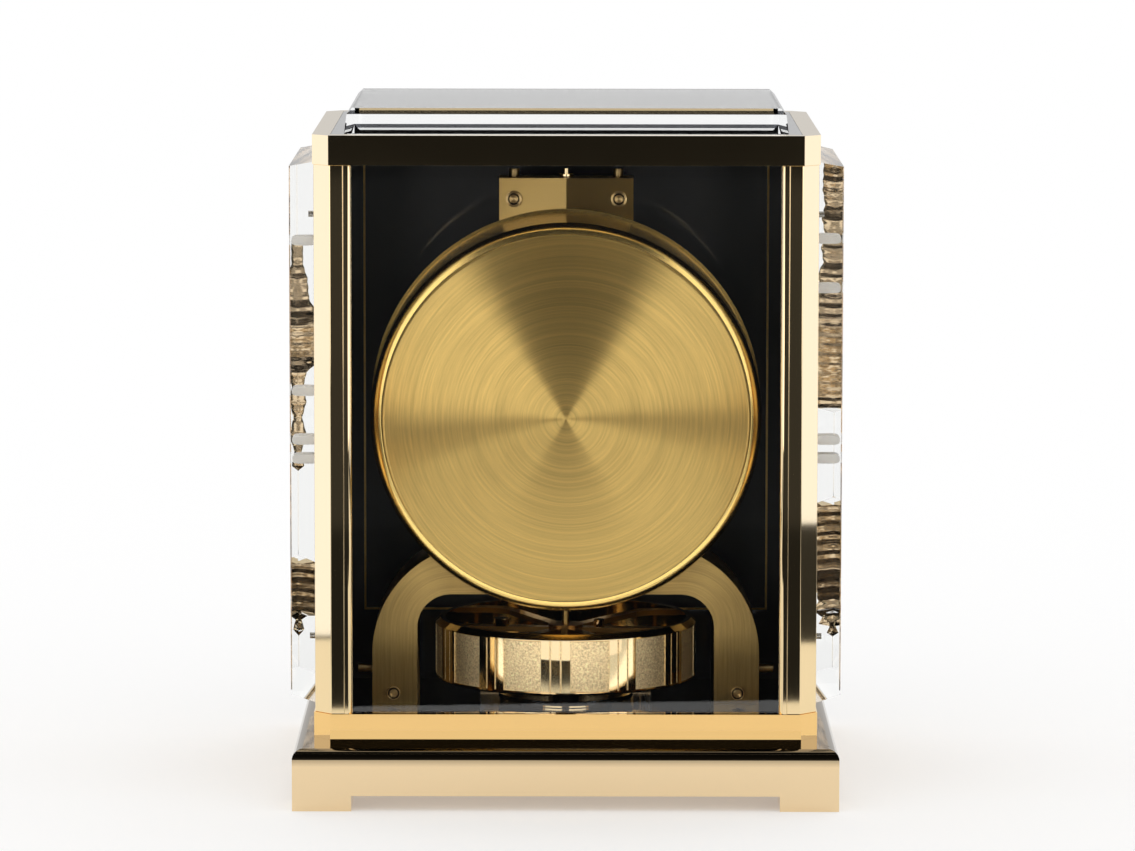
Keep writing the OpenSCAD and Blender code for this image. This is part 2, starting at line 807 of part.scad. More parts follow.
// The centre arbor with its pinion and wheel, and the cannon pinion that carries the minute hand
module center_wheel() {
    color(brass) {
        wheel(center_at, center_pinion_teeth, barrel_module, 90,
            barrel_wheel_y + mesh_margin, barrel_wheel_y + mesh_margin - center_wheel_y, 0);
        wheel(center_at, center_teeth, train_module, third_dir,
            center_wheel_y, wheel_t, 0, rim = 12.4, hub = 3.5);
        wheel(center_at, cannon_teeth, train_module, minute_dir, cannon_y, 2.4, 0);
    }
    color(steel) {
        bar_y(center_at, pivot_r, rear_plate_y - 0.5, plate_t);
        bar_y(center_at, arbor_r, gap_back_y - end_play,
            gap_back_y - end_play - minute_hand_y + hand_t + 0.4);
    }
}

module third_wheel() {
    color(brass) {
        wheel(third_at, third_pinion_teeth, train_module, third_dir + 180 + half_tooth(third_pinion_teeth),
            center_wheel_y + mesh_margin, wheel_t + 2 * mesh_margin, 0);
        wheel(third_at, third_teeth, train_module, escape_dir,
            third_wheel_y, wheel_t, 0, rim = 5.6, hub = 2.4);
    }
    color(steel) {
        bar_y(third_at, pivot_r, rear_plate_y - 0.5, plate_gap + 2 * plate_t - 1);
        bar_y(third_at, arbor_r, gap_back_y - end_play, plate_gap - 2 * end_play);
    }
}

module escape_wheel() {
    color(brass) {
        wheel(escape_at, escape_pinion_teeth, train_module,
            escape_dir + 180 + half_tooth(escape_pinion_teeth),
            third_wheel_y + mesh_margin, wheel_t + 2 * mesh_margin, 0);
        translate([escape_at[0], 0, escape_at[1]]) upright(escape_wheel_y, escape_wheel_t) difference() {
            polygon([for (i = [0 : escape_teeth - 1], k = [[0, escape_wheel_r], [0.12, escape_wheel_r - 0.2],
                [0.3, escape_wheel_r - 2]]) polar([0, 0], k[1], (i + k[0]) * 360 / escape_teeth)]);
            difference() {
                circle(r = escape_wheel_r - 3);
                circle(r = 2.2);
                for (i = [0 : 3]) rotate(i * 90) translate([0, -0.5]) square([escape_wheel_r, 1]);
            }
        }
    }
    color(steel) {
        bar_y(escape_at, arbor_r, escape_wheel_y + mesh_margin,
            escape_wheel_y + mesh_margin - gap_front_y - end_play);
        bar_y(escape_at, pivot_r, gap_front_y + 1, plate_t);
    }
}

// The wheel and pinion between the cannon pinion and the hour wheel
module minute_wheel() {
    color(brass) {
        wheel(minute_at, minute_teeth, train_module, minute_dir + 180 + half_tooth(minute_teeth),
            cannon_y - 0.6, wheel_t, arbor_r + run_gap, rim = 5, hub = 2.2);
        wheel(minute_at, minute_pinion_teeth, train_module, minute_dir + 180,
            cannon_y - 0.6 - wheel_t + eps, 4, arbor_r + run_gap);
    }
}

module hour_wheel() {
    pipe_bore = arbor_r + 0.1 + run_gap;
    color(brass) {
        wheel(center_at, hour_teeth, train_module, minute_dir + half_tooth(hour_teeth),
            hour_wheel_y, wheel_t, pipe_bore, rim = 5.6, hub = 3.4);
        difference() {
            bar_y(center_at, hour_pipe_r, hour_wheel_y - 1, hour_wheel_y - 1 - hour_hand_y + hand_t + 0.3);
            bar_y(center_at, pipe_bore, hour_wheel_y + cut, 60);
        }
    }
}

// The escape lever: two pallets beside the escape wheel and a fork towards the balance
module escape_lever() {
    arm = escape_wheel_r + 1.4;
    color(steel) {
        upright(escape_wheel_y, escape_wheel_t) {
            translate(fork_pivot) circle(r = 2);
            translate([fork_pivot[0] - 1, tube_z0 - 3]) square([2, fork_pivot[1] - tube_z0 + 3]);
            for (s = [-1, 1]) translate([fork_pivot[0] + s * 1.6 - 0.5, tube_z0 - 4.6]) square([1, 2.4]);
            translate([fork_pivot[0] - 2.1, tube_z0 - 3]) square([4.2, 1]);
            translate([escape_at[0] - arm - 1, fork_pivot[1] - 0.8]) square([2 * arm + 2, 1.6]);
            for (s = [-1, 1]) translate([escape_at[0] + s * (arm + 0.3) - 0.7, fork_pivot[1] - 0.8])
                square([1.4, escape_at[1] - fork_pivot[1]]);
        }
        bar_y(fork_pivot, pivot_r, escape_wheel_y, escape_wheel_y - gap_back_y);
    }
}

// The drum: a deep cup with a rounded rim, open towards the movement
module capsule_drum() {
    color(brass) translate([0, drum_y, drum_z]) rotate([-90, 0, 0]) rotate_extrude($fn = 128) difference() {
        union() {
            square([drum_r, drum_len - drum_rim_r]);
            square([drum_r - drum_rim_r, drum_len]);
            translate([drum_r - drum_rim_r, drum_len - drum_rim_r]) circle(r = drum_rim_r);
        }
        translate([-drum_r, -drum_len]) square([drum_r, 3 * drum_len]);
        translate([-eps, -cut]) square([drum_r - drum_wall, drum_len - drum_rim_r + cut]);
        translate([-eps, -cut]) square([drum_r - drum_rim_r, drum_len - drum_wall + cut]);
    }
}

// The drum's back: a disc held off the movement by four standoffs
module drum_back() {
    color(brass) {
        difference() {
            bar_y([0, drum_z], drum_back_r, drum_y, drum_back_t);
            bar_y([chain_x, drum_z], chain_t + 0.6, drum_y + cut, drum_back_t + 2 * cut);
        }
        for (p = standoff_at) bar_y(p, 4, drum_y - drum_back_t + eps, drum_y - drum_back_t - rear_plate_y);
    }
}

// The sealed capsule: a stack of ribs that fills with vapour
module gas_capsule() {
    ribs = 5;
    front = cap_y + cap_t + 0.3;
    back = drum_y + drum_len - drum_wall - seat_gap;
    pitch = (back - front) / ribs;
    color(steel) translate([0, front, drum_z]) rotate([-90, 0, 0]) rotate_extrude() polygon(concat(
        [[0, 0]], [for (i = [0 : ribs - 1], k = [[0, -4], [0.5, 0], [0.999, -4]])
            [capsule_r + k[1], (i + k[0]) * pitch]], [[0, back - front]]));
}

// The capsule's moving end with the hook for the chain
module capsule_cap() {
    color(steel) {
        bar_y([0, drum_z], capsule_r - 6, cap_y + cap_t, cap_t);
        bar_y([chain_x, drum_z], 2, cap_y + eps, 2);
    }
}

module winding_chain() {
    color(steel) box([chain_x - chain_t / 2, roller_y, drum_z - chain_t / 2],
        [chain_x + chain_t / 2, cap_y - 2, drum_z + chain_t / 2]);
}

module pulley_chain() {
    y = roller_y - roller_r - pass_gap;
    color(steel) box([chain_x - chain_t / 2, y - chain_t, roller_z],
        [chain_x + chain_t / 2, y, barrel_at[1]]);
}

module guide_roller() {
    color(brass) translate([chain_x, roller_y, roller_z]) rotate([0, 90, 0]) {
        cylinder(r = roller_r, h = 2.4, center = true);
        cylinder(r = pivot_r, h = roller_axle_len, center = true);
    }
}

// The inverted U that carries the movement over the balance
module arch_outline() {
    inner = arch_half_w - arch_leg_w;
    difference() {
        union() {
            translate([-arch_half_w, 0]) square([2 * arch_half_w, arch_h - arch_outer_r]);
            translate([-arch_half_w + arch_outer_r, 0]) square([2 * (arch_half_w - arch_outer_r), arch_h]);
            for (s = [-1, 1]) translate([s * (arch_half_w - arch_outer_r), arch_h - arch_outer_r])
                circle(r = arch_outer_r, $fn = 96);
        }
        translate([-arch_half_w, -arch_h]) square([2 * arch_half_w, arch_h]);
        translate([-inner, -cut]) square([2 * inner, arch_gap_h - arch_inner_r + cut]);
        translate([-inner + arch_inner_r, -cut]) square([2 * (inner - arch_inner_r), arch_gap_h + cut]);
        for (s = [-1, 1]) translate([s * (inner - arch_inner_r), arch_gap_h - arch_inner_r])
            circle(r = arch_inner_r);
    }
}

module arch_frame() {
    color(brass) difference() {
        translate([0, 0, deck_top]) upright(arch_y, arch_d) arch_outline();
        translate([0, bal_y, deck_top]) cylinder(r = staff_r + 1.8, h = arch_h + cut);
        for (s = [-1, 1]) {
            bar_y([s * arch_screw_at[0], arch_screw_at[1]], screw_shank_r + run_gap, arch_y + cut, 9 + cut);
            translate([s * (arch_half_w - 5), stud_y, stud_z]) rotate([0, s * 90, 0])
                cylinder(r = stud_r + run_gap, h = 6);
        }
    }
}

// A round-headed screw along Y with a hexagon recess
module face_screw(p, y0, len, head_r) {
    difference() {
        bar_y(p, head_r, y0 + screw_head_t, screw_head_t);
        translate([p[0], y0 + screw_head_t + cut, p[1]]) rotate([90, 0, 0])
            cylinder(r = head_r * 0.5, h = cut + 0.7, $fn = 6);
    }
    bar_y(p, screw_shank_r, y0 + eps, len);
}

// Every screw and stud that shows round the drum: arch, bracket, bracket top and leg sides
module frame_screws() {
    color(brass) for (s = [-1, 1]) {
        face_screw([s * arch_screw_at[0], arch_screw_at[1]], arch_y, arch_screw_len, screw_head_r);
        face_screw([s * bracket_screw_at[0], bracket_screw_at[1]], arch_y, arch_y - gap_back_y - 0.5, 2.7);
        translate([s * head_pin_x, bal_y, bracket_top]) cylinder(r = 1.8, h = 2.8);
        translate([s * head_pin_x, bal_y, bracket_top - 3]) cylinder(r = 1, h = 3 + eps);
        translate([s * (arch_half_w - 4), stud_y, stud_z]) rotate([0, s * 90, 0]) cylinder(r = stud_r, h = 9);
    }
}

// The block that joins the rear plate to the head of the suspension
module top_bracket() {
    block_z = bracket_top - bracket_block_h;
    color(brass) difference() {
        union() {
            box([-bracket_w / 2, rear_plate_y, block_z], [bracket_w / 2, arch_y, bracket_top]);
            box([-bracket_w / 2, arch_y - bracket_skirt_t, bracket_top - bracket_h],
                [bracket_w / 2, arch_y, block_z + eps]);
        }
        translate([0, bal_y, block_z - cut]) cylinder(r = tube_r + run_gap, h = tube_seat + cut);
        translate([0, bal_y, block_z]) cylinder(r = tube_bore_r, h = bracket_block_h + cut);
        for (s = [-1, 1]) {
            translate([s * head_pin_x, bal_y, bracket_top - 3.5]) cylinder(r = 1 + run_gap, h = 3.5 + cut);
            bar_y([s * bracket_screw_at[0], bracket_screw_at[1]], screw_shank_r + run_gap,
                arch_y + cut, arch_y - rear_plate_y + 2 * cut);
        }
    }
}

// The regulator: a collar round the suspension head with a pointer towards the dial
module regulator() {
    collar_t = 0.9;
    color(brass) difference() {
        union() {
            translate([0, bal_y, regulator_z]) cylinder(r = 2.4, h = collar_t);
            translate([0, bal_y, regulator_z]) cylinder(r = 1, h = 2.8);
            box([-0.5, bal_y - 11, regulator_z], [0.5, bal_y, regulator_z + collar_t]);
        }
        translate([0, bal_y, regulator_z - cut]) cylinder(r = wire_r + run_gap, h = 1.5 + cut);
    }
}

module suspension_tube() {
    tube_z1 = bracket_top - bracket_block_h + tube_seat - seat_gap;
    color(brass) difference() {
        translate([0, bal_y, tube_z0]) cylinder(r = tube_r, h = tube_z1 - tube_z0);
        translate([0, bal_y, tube_z0 - cut]) cylinder(r = tube_bore_r, h = bracket_top);
    }
}

module suspension_wire() {
    z0 = roller_z0 + 1.5;
    color(steel) translate([0, bal_y, z0]) cylinder(r = wire_r, h = wire_z1 - z0);
}

// The balance ring: a bevelled hoop with groups of raised polished bars
module balance_ring() {
    lip = 1.7;
    relief = 0.35;
    color(gold) translate([0, bal_y, ring_z0]) {
        rotate_extrude($fn = 128) polygon([[ring_r - ring_wall, 0], [ring_r - 0.8, 0], [ring_r, 0.8],
            [ring_r, 1.1], [ring_r - relief, 1.4], [ring_r - relief, ring_h - lip - 0.6],
            [ring_r, ring_h - lip - 0.3], [ring_r, ring_h - lip], [ring_r - lip, ring_h],
            [ring_r - ring_wall, ring_h]]);
        intersection() {
            difference() {
                cylinder(r = ring_r - 0.05, h = ring_h - lip - 0.2, $fn = 128);
                translate([0, 0, -cut]) cylinder(r = ring_r - 1.5, h = ring_h + 2 * cut, $fn = 128);
            }
            for (i = [0 : bar_groups - 1], k = [-1, 0, 1])
                rotate(arm_turn + i * 360 / bar_groups + k * bar_pitch / ring_r * 180 / PI)
                    translate([ring_r - 3, -bar_w / 2, 0.6]) cube([6, bar_w, ring_h - lip - 0.6]);
        }
    }
}

// The hub and the three bars that cross the ring
module balance_arms() {
    reach = ring_r - ring_wall - seat_gap / 2;
    color(brass) translate([0, bal_y, arm_z]) difference() {
        union() {
            for (i = [0 : 2]) rotate(arm_turn + i * 60) intersection() {
                cylinder(r = reach, h = arm_t);
                translate([-ring_r, -2, 0]) cube([2 * ring_r, 4, arm_t]);
            }
            translate([0, 0, -3]) cylinder(r = hub_r, h = arm_t + 4);
        }
        translate([0, 0, -4]) cylinder(r = staff_r + 0.02, h = arm_t + 8);
        for (p = poising_at) rotate(arm_turn) translate([p, 0, -cut])
            cylinder(r = 1 + run_gap, h = arm_t + 2 * cut);
    }
}

module balance_staff() {
    z0 = arm_z - 4.5;
    color(steel) translate([0, bal_y, 0]) {
        difference() {
            translate([0, 0, z0]) cylinder(r = staff_r, h = roller_z0 - z0 + 1.5);
            translate([0, 0, roller_z0 + 1]) cylinder(r = wire_r + eps, h = 1);
        }
        difference() {
            translate([0, 0, roller_z0]) cylinder(r = 3, h = 1.2);
            translate([0, 0, roller_z0 + 1]) cylinder(r = wire_r + eps, h = 1);
        }
        translate([0, -2.3, roller_z0 + 1.2 - eps]) cylinder(r = 0.35, h = 1.4);
    }
}

// The two screws that set the balance's poise and rate
module poising_screws() {
    color(gold) translate([0, bal_y, arm_z]) rotate(arm_turn) for (p = poising_at) translate([p, 0, 0]) {
        translate([0, 0, -0.6]) cylinder(r = 1, h = arm_t + 1);
        translate([0, 0, arm_t]) cylinder(r = p > 0 ? 2.7 : 1.8, h = 2.6);
    }
}

// The disc and column that lift the balance off its suspension for carrying
module lift_cup() {
    z0 = deck_top + 0.2 + lock_t + 0.3;
    color(black) difference() {
        translate([0, bal_y, 0]) union() {
            translate([0, 0, z0]) cylinder(r = cup_r, h = 1.6);
            translate([0, 0, z0]) cylinder(r = 4.5, h = arm_z - 3 - 1.6 - z0);
            translate([0, 0, deck_top + 0.1]) cylinder(r = 5.5, h = z0 - deck_top);
        }
        translate([0, bal_y, arm_z - 6.5]) cylinder(r = staff_r + 0.5, h = 6);
    }
}

// The lever under the disc that raises it, reached through the balance window
module lock_lever() {
    z0 = deck_top + 0.2;
    color(gold) translate([0, bal_y, z0]) difference() {
        union() {
            cylinder(r = lock_ring_r, h = lock_t);
            translate([-2.2, -lock_reach, 0]) cube([4.4, lock_reach, lock_t]);
            translate([0, -lock_reach, 0]) cylinder(r = 3.2, h = lock_t);
        }
        translate([0, 0, -cut]) cylinder(r = 5.5 + run_gap, h = lock_t + 2 * cut);
    }
}

// A tube level in a brass trough on the deck, before the dial panel
module spirit_level() {
    y = panel_y - 3.5;
    z = deck_top + 2.6;
    color(brass) difference() {
        box([-52, y - 2.4, deck_top], [-30, y + 2.4, z]);
        translate([-51, y, z]) rotate([0, 90, 0]) cylinder(r = 2 + eps, h = 20);
    }
    color(clear) translate([-51 + seat_gap, y, z]) rotate([0, 90, 0]) cylinder(r = 2, h = 20 - 2 * seat_gap);
}

base_plinth();
level_foot_left();
level_foot_right();
base_deck();
lower_band();
post_front_left();
post_front_right();
post_rear_left();
post_rear_right();
top_band();
roof_plate();
roof_slab();
side_panel_left();
side_panel_right();
crystal_left();
crystal_right();
crystal_screws();
rear_beads();
rear_glass();
door_frame();
door_glass();
door_knob();
hinge_pins();
dial_panel();
dial_trim();
chapter_ring();
hour_hand();
minute_hand();
rear_plate();
front_plate();
plate_pillars();
barrel();
mainspring();
winding_arbor();
center_wheel();
third_wheel();
escape_wheel();
minute_wheel();
hour_wheel();
escape_lever();
capsule_drum();
drum_back();
gas_capsule();
capsule_cap();
winding_chain();
pulley_chain();
guide_roller();
arch_frame();
frame_screws();
top_bracket();
regulator();
suspension_tube();
suspension_wire();
balance_ring();
balance_arms();
balance_staff();
poising_screws();
lift_cup();
lock_lever();
spirit_level();
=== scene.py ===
import math

import bpy
import numpy as np
from mathutils import Matrix, Vector


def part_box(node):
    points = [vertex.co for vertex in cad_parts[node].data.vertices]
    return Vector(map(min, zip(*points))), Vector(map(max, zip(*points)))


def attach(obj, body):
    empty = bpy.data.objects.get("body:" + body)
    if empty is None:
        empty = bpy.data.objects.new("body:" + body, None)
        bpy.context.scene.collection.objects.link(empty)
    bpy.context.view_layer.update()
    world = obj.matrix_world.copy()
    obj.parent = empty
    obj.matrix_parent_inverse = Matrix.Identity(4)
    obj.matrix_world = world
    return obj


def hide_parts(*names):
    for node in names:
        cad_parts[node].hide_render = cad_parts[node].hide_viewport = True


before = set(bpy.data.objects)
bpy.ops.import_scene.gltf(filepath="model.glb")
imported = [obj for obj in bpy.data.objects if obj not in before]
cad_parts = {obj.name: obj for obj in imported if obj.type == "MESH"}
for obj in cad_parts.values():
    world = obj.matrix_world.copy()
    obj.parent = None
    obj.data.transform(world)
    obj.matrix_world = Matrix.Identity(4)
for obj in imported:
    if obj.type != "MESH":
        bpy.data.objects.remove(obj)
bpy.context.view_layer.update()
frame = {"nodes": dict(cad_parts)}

bl_info = {
    "name": "Atmospheric Clock",
    "version": (1, 0, 0),
    "blender": (4, 5, 0),
    "location": "View3D > Sidebar > Clock",
    "description": "Finishes a glazed brass mantel clock and sets its studio",
    "category": "Object",
}

NODES = frame["nodes"]

# The photograph's width in pixels, and the camera fitted to it: lengths in metres, angles in radians, and
# the focal length in the photograph's pixels
PHOTO_WIDTH = 1135
FOCAL_PIXELS = 5700.0
SENSOR = 0.036
CAMERA_PLACE = (0.00080478, 1.9298173, 0.3513921)
CAMERA_PITCH = 0.12043115
CAMERA_YAW = 0.00068852
CAMERA_ROLL = -0.00141978

# Middles of the screws on the bracket and on the arch's feet, and of the arch's round corners: distance
# from the middle plane and height
BRACKET_SCREW = (0.0178, 0.1957)
FOOT_SCREW = (0.0588, 0.0262)
ARCH_CORNER = (0.0392, 0.0488)

# Painted shade by height, which darkens the plinth's rounded upper edge and the arch's feet: the height where
# the shade is least, the one where it is 1, and the least
PLINTH_PAINTED_SHADE = (0.0184, 0.0148, 0.3)
ARCH_PAINTED_SHADE = (0.026, 0.066, 0.5)

# Distances between which a turned screw head gets a painted dark ring, shade that its turned face shows, and
# the colour's factor there
SCREW_PAINTED_RING = (0.0014, 0.002, 0.12)

# Width of the slab's bevels, the bars' height over the chapter ring, and how far past its side the
# bracket's lean begins
SLAB_BEVEL = 0.0019
HOUR_BAR_RISE = 0.00025
BRACKET_LEAN_START = 0.0126

# The polished depth of the balance ring's bars, and how far its frosted ground stays from its foot and top
RING_SKIN = 0.0001
GROUND_FOOT, GROUND_TOP = 0.0012, 0.0022

# Refractive indices
WINDOW_INDEX = 1.5
CRYSTAL_INDEX = 1.49

# Inputs and output of a Mix node that stand for colours
MIX_A, MIX_B, MIX_RESULT = 6, 7, 2


def rgb(red, green, blue):
    """Linear colour of an sRGB triple given in 0 to 255, with an alpha of 1."""
    s = np.array([red, green, blue], float) / 255
    linear = np.where(s <= 0.04045, s / 12.92, ((s + 0.055) / 1.055) ** 2.4)
    return (*linear.tolist(), 1.0)


def centre_of(node):
    """Middle of a CAD node's box at rest."""
    low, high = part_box(node)
    return (low + high) / 2


# ---- node helpers


class Graph:
    """A node tree that is filled from left to right by short calls."""

    def __init__(self, tree):
        self.tree = tree

    def node(self, kind, values=(), **settings):
        made = self.tree.nodes.new(kind)
        for key, value in settings.items():
            setattr(made, key, value)
        for name, value in dict(values).items():
            self.put(made.inputs[name], value)
        return made

    def put(self, socket, value):
        if isinstance(value, bpy.types.NodeSocket):
            self.tree.links.new(value, socket)
        else:
            socket.default_value = value

    def math(self, operation, a, b=0.0, clamp=False):
        made = self.tree.nodes.new("ShaderNodeMath")
        made.operation = operation
        made.use_clamp = clamp
        self.put(made.inputs[0], a)
        self.put(made.inputs[1], b)
        return made.outputs[0]

    def vector(self, operation, a, b=None, scale=None):
        made = self.tree.nodes.new("ShaderNodeVectorMath")
        made.operation = operation
        self.put(made.inputs[0], a)
        if b is not None:
            self.put(made.inputs[1], b)
        if scale is not None:
            self.put(made.inputs["Scale"], scale)
        return made.outputs["Value"] if operation in {"LENGTH", "DOT_PRODUCT"} else made.outputs[0]

    def mix(self, factor, a, b):
        made = self.tree.nodes.new("ShaderNodeMix")
        made.data_type = "RGBA"
        self.put(made.inputs["Factor"], factor)
        self.put(made.inputs[MIX_A], a)
        self.put(made.inputs[MIX_B], b)
        return made.outputs[MIX_RESULT]

    def between(self, value, low, high):
        """1 where value lies between low and high, else 0."""
        return self.math("MULTIPLY", self.math("GREATER_THAN", value, low),
                         self.math("LESS_THAN", value, high))

    def parts(self, place):
        """A place's X, Y and Z."""
        return self.node("ShaderNodeSeparateXYZ", {"Vector": place}).outputs

    def noise(self, place, scale, detail, roughness=0.5):
        return self.node("ShaderNodeTexNoise", {"Vector": place, "Scale": scale, "Detail": detail,
                                                "Roughness": roughness}).outputs["Fac"]

    def bump(self, height, strength, distance):
        return self.node("ShaderNodeBump", {"Height": height, "Strength": strength,
                                            "Distance": distance}).outputs["Normal"]

    def to_world(self, direction):
        return self.node("ShaderNodeVectorTransform", {"Vector": direction}, vector_type="VECTOR",
                         convert_from="OBJECT", convert_to="WORLD").outputs[0]


def new_group(name, inputs, outputs):
    """A shader node group with the named sockets, and the graph to fill it."""
    group = bpy.data.node_groups.new(name, "ShaderNodeTree")
    for label, kind, default in inputs:
        socket = group.interface.new_socket(name=label, in_out="INPUT", socket_type=kind)
        if default is not None:
            socket.default_value = default
    for label, kind in outputs:
        group.interface.new_socket(name=label, in_out="OUTPUT", socket_type=kind)
    graph = Graph(group)
    return group, graph, graph.node("NodeGroupInput"), graph.node("NodeGroupOutput")


def grain_group():
    """Brushed metal: lines of random tilt across which the normal leans, over a slow lean that grows with
    the distance, and the lines' shade. Both come from fine and broad noise, which changes slowly along the
    lines."""
    drift, broad_scale, fine_share = 48.0, 0.23, 0.82
    group, g, given, result = new_group(
        "Brushed grain",
        [("Place", "NodeSocketVector", None), ("Across", "NodeSocketFloat", 0.0),
         ("Direction", "NodeSocketVector", None), ("Lines per metre", "NodeSocketFloat", 3200.0),
         ("Tilt", "NodeSocketFloat", 0.1), ("Lean per metre", "NodeSocketFloat", 0.0)],
        [("Normal", "NodeSocketVector"), ("Shade", "NodeSocketFloat")])
    across = g.node("ShaderNodeCombineXYZ", {
        "X": g.math("MULTIPLY", given.outputs["Across"], given.outputs["Lines per metre"])})
    place = g.vector("ADD", across.outputs[0], g.vector("SCALE", given.outputs["Place"], scale=drift))
    fine = g.noise(place, 1.0, 3.0, 0.75)
    broad = g.noise(g.vector("SCALE", place, scale=broad_scale), 1.0, 2.0, 0.6)
    both = g.math("ADD", g.math("MULTIPLY", fine, fine_share), g.math("MULTIPLY", broad, 1 - fine_share))
    lean = g.math("ADD", g.math("MULTIPLY", g.math("SUBTRACT", both, 0.5), given.outputs["Tilt"]),
                  g.math("MULTIPLY", given.outputs["Across"], given.outputs["Lean per metre"]))
    world = g.to_world(given.outputs["Direction"])
    flat = g.node("ShaderNodeNewGeometry").outputs["Normal"]
    offset = g.vector("SCALE", world, scale=lean)
    g.put(result.inputs["Normal"], g.vector("NORMALIZE", g.vector("ADD", flat, offset)))
    g.put(result.inputs["Shade"], both)
    return group


def wear_group():
    """Handling marks: soft smudges and fine specks as a factor around 1."""
    smudge_share = 0.75
    group, g, given, result = new_group(
        "Handling marks", [("Place", "NodeSocketVector", None), ("Amount", "NodeSocketFloat", 0.3)],
        [("Factor", "NodeSocketFloat")])
    smudge = g.noise(given.outputs["Place"], 38.0, 4.0)
    speck = g.noise(given.outputs["Place"], 900.0, 1.0)
    both = g.math("ADD", g.math("MULTIPLY", smudge, smudge_share),
                  g.math("MULTIPLY", speck, 1 - smudge_share))
    swing = g.math("MULTIPLY", g.math("SUBTRACT", both, 0.5), given.outputs["Amount"])
    g.put(result.inputs["Factor"], g.math("ADD", swing, 1.0))
    return group


def waves_group():
    """Slow waves that polishing leaves in a metal face, as a normal."""
    group, g, given, result = new_group(
        "Polishing waves", [("Place", "NodeSocketVector", None), ("Depth", "NodeSocketFloat", 0.00004)],
        [("Normal", "NodeSocketVector")])
    waves = g.noise(given.outputs["Place"], 26.0, 1.0)
    g.put(result.inputs["Normal"], g.bump(waves, 1.0, given.outputs["Depth"]))
    return group


def new_material(name):
    """An empty material's graph, its Principled shader and its object coordinates."""
    made = bpy.data.materials.new(name)
    made.use_nodes = True
    g = Graph(made.node_tree)
    shader = made.node_tree.nodes["Principled BSDF"]
    place = g.node("ShaderNodeTexCoord").outputs["Object"]
    return made, g, shader, place


def handling(g, groups, place, amount):
    """The factor of the handling marks in a material."""
    marks = g.node("ShaderNodeGroup", node_tree=groups["wear"])
    g.put(marks.inputs["Place"], place)
    g.put(marks.inputs["Amount"], amount)
    return marks.outputs["Factor"]


def marked(g, groups, place, value, amount):
    """A value that varies a little with the handling marks."""
    return g.math("MULTIPLY", handling(g, groups, place, amount), value)


def tinted(g, groups, place, colour, amount):
    """A colour that varies a little with the handling marks."""
    return g.vector("SCALE", colour[:3], scale=handling(g, groups, place, amount))


# ---- materials


def polished(name, colour, groups, roughness=0.05, waves=0.00004, painted_shade=None):
    """Polished gilt metal with faint handling marks and slow waves. painted_shade, if given, darkens the
    colour with a painted shade.
    """
    made, g, shader, place = new_material(name)
    shader.inputs["Metallic"].default_value = 1.0
    tint = tinted(g, groups, place, colour, 0.05)
    # A painted shade, if given, darkens the colour
    if painted_shade is not None:
        tint = g.vector("SCALE", tint, scale=painted_shade(g, place, 0.0))
    g.put(shader.inputs["Base Color"], tint)
    g.put(shader.inputs["Roughness"], marked(g, groups, place, roughness, 0.5))
    polish = g.node("ShaderNodeGroup", node_tree=groups["waves"])
    g.put(polish.inputs["Place"], place)
    polish.inputs["Depth"].default_value = waves
    g.put(shader.inputs["Normal"], polish.outputs["Normal"])
    return made


def straight_lines(direction):
    """Field of straight brushing: how far a point lies along direction, and direction itself."""
    def field(g, place):
        return g.vector("DOT_PRODUCT", place, direction), direction
    return field


def round_lines(middle):
    """Field of circular brushing about the axis along Y through middle: the radius and its direction."""
    def field(g, place):
        flat = g.vector("MULTIPLY", g.vector("SUBTRACT", place, tuple(middle)), (1.0, 0.0, 1.0))
        return g.vector("LENGTH", flat), g.vector("NORMALIZE", flat)
    return field


def bracket_lines(reach):
    """Field for the bracket, whose left half, seen from the back, leans: there the distance is measured
    along x from reach, which lies outside the bracket, and grows towards the middle. Elsewhere it is 0."""
    def field(g, place):
        parts = g.parts(place)
        inner = g.math("SUBTRACT", reach, parts["X"])
        return g.math("MULTIPLY", inner, g.math("GREATER_THAN", parts["X"], 0.0)), (1.0, 0.0, 0.0)
    return field


def arch_lines(corner_x, corner_z):
    """Field of brushing that follows the arch: straight on the legs and the bridge, and round the corners.
    The distance is that from the point to the rectangle below and between the corners' centres."""
    def field(g, place):
        parts = g.parts(place)
        wide = g.math("MAXIMUM", g.math("SUBTRACT", g.math("ABSOLUTE", parts["X"]), corner_x), 0.0)
        high = g.math("MAXIMUM", g.math("SUBTRACT", parts["Z"], corner_z), 0.0)
        away = g.node("ShaderNodeCombineXYZ", {"X": g.math("MULTIPLY", wide, g.math("SIGN", parts["X"])),
                                               "Z": high})
        return g.vector("LENGTH", away.outputs[0]), g.vector("NORMALIZE", away.outputs[0])
    return field


def screw_lines(upper, lower, split):
    """Field of turned screw heads: circular about upper where the height is over split, else about lower,
    both as (distance from the middle plane, height)."""
    def field(g, place):
        parts = g.parts(place)
        high = g.math("GREATER_THAN", parts["Z"], split)
        x0 = g.math("ADD", g.math("MULTIPLY", high, upper[0] - lower[0]), lower[0])
        z0 = g.math("ADD", g.math("MULTIPLY", high, upper[1] - lower[1]), lower[1])
        side = g.math("SIGN", parts["X"])
        away = g.node("ShaderNodeCombineXYZ", {
            "X": g.math("SUBTRACT", parts["X"], g.math("MULTIPLY", side, x0)),
            "Z": g.math("SUBTRACT", parts["Z"], z0)})
        return g.vector("LENGTH", away.outputs[0]), g.vector("NORMALIZE", away.outputs[0])
    return field


def painted_height_shade(low, high, least):
    """Painted shade: a factor of the colour that grows from least at the height low to 1 at the height high.
    """
    def shade(g, place, across):
        parts = g.parts(place)
        share = g.math("DIVIDE", g.math("SUBTRACT", parts["Z"], low), high - low, True)
        return g.math("ADD", g.math("MULTIPLY", share, 1 - least), least)
    return shade


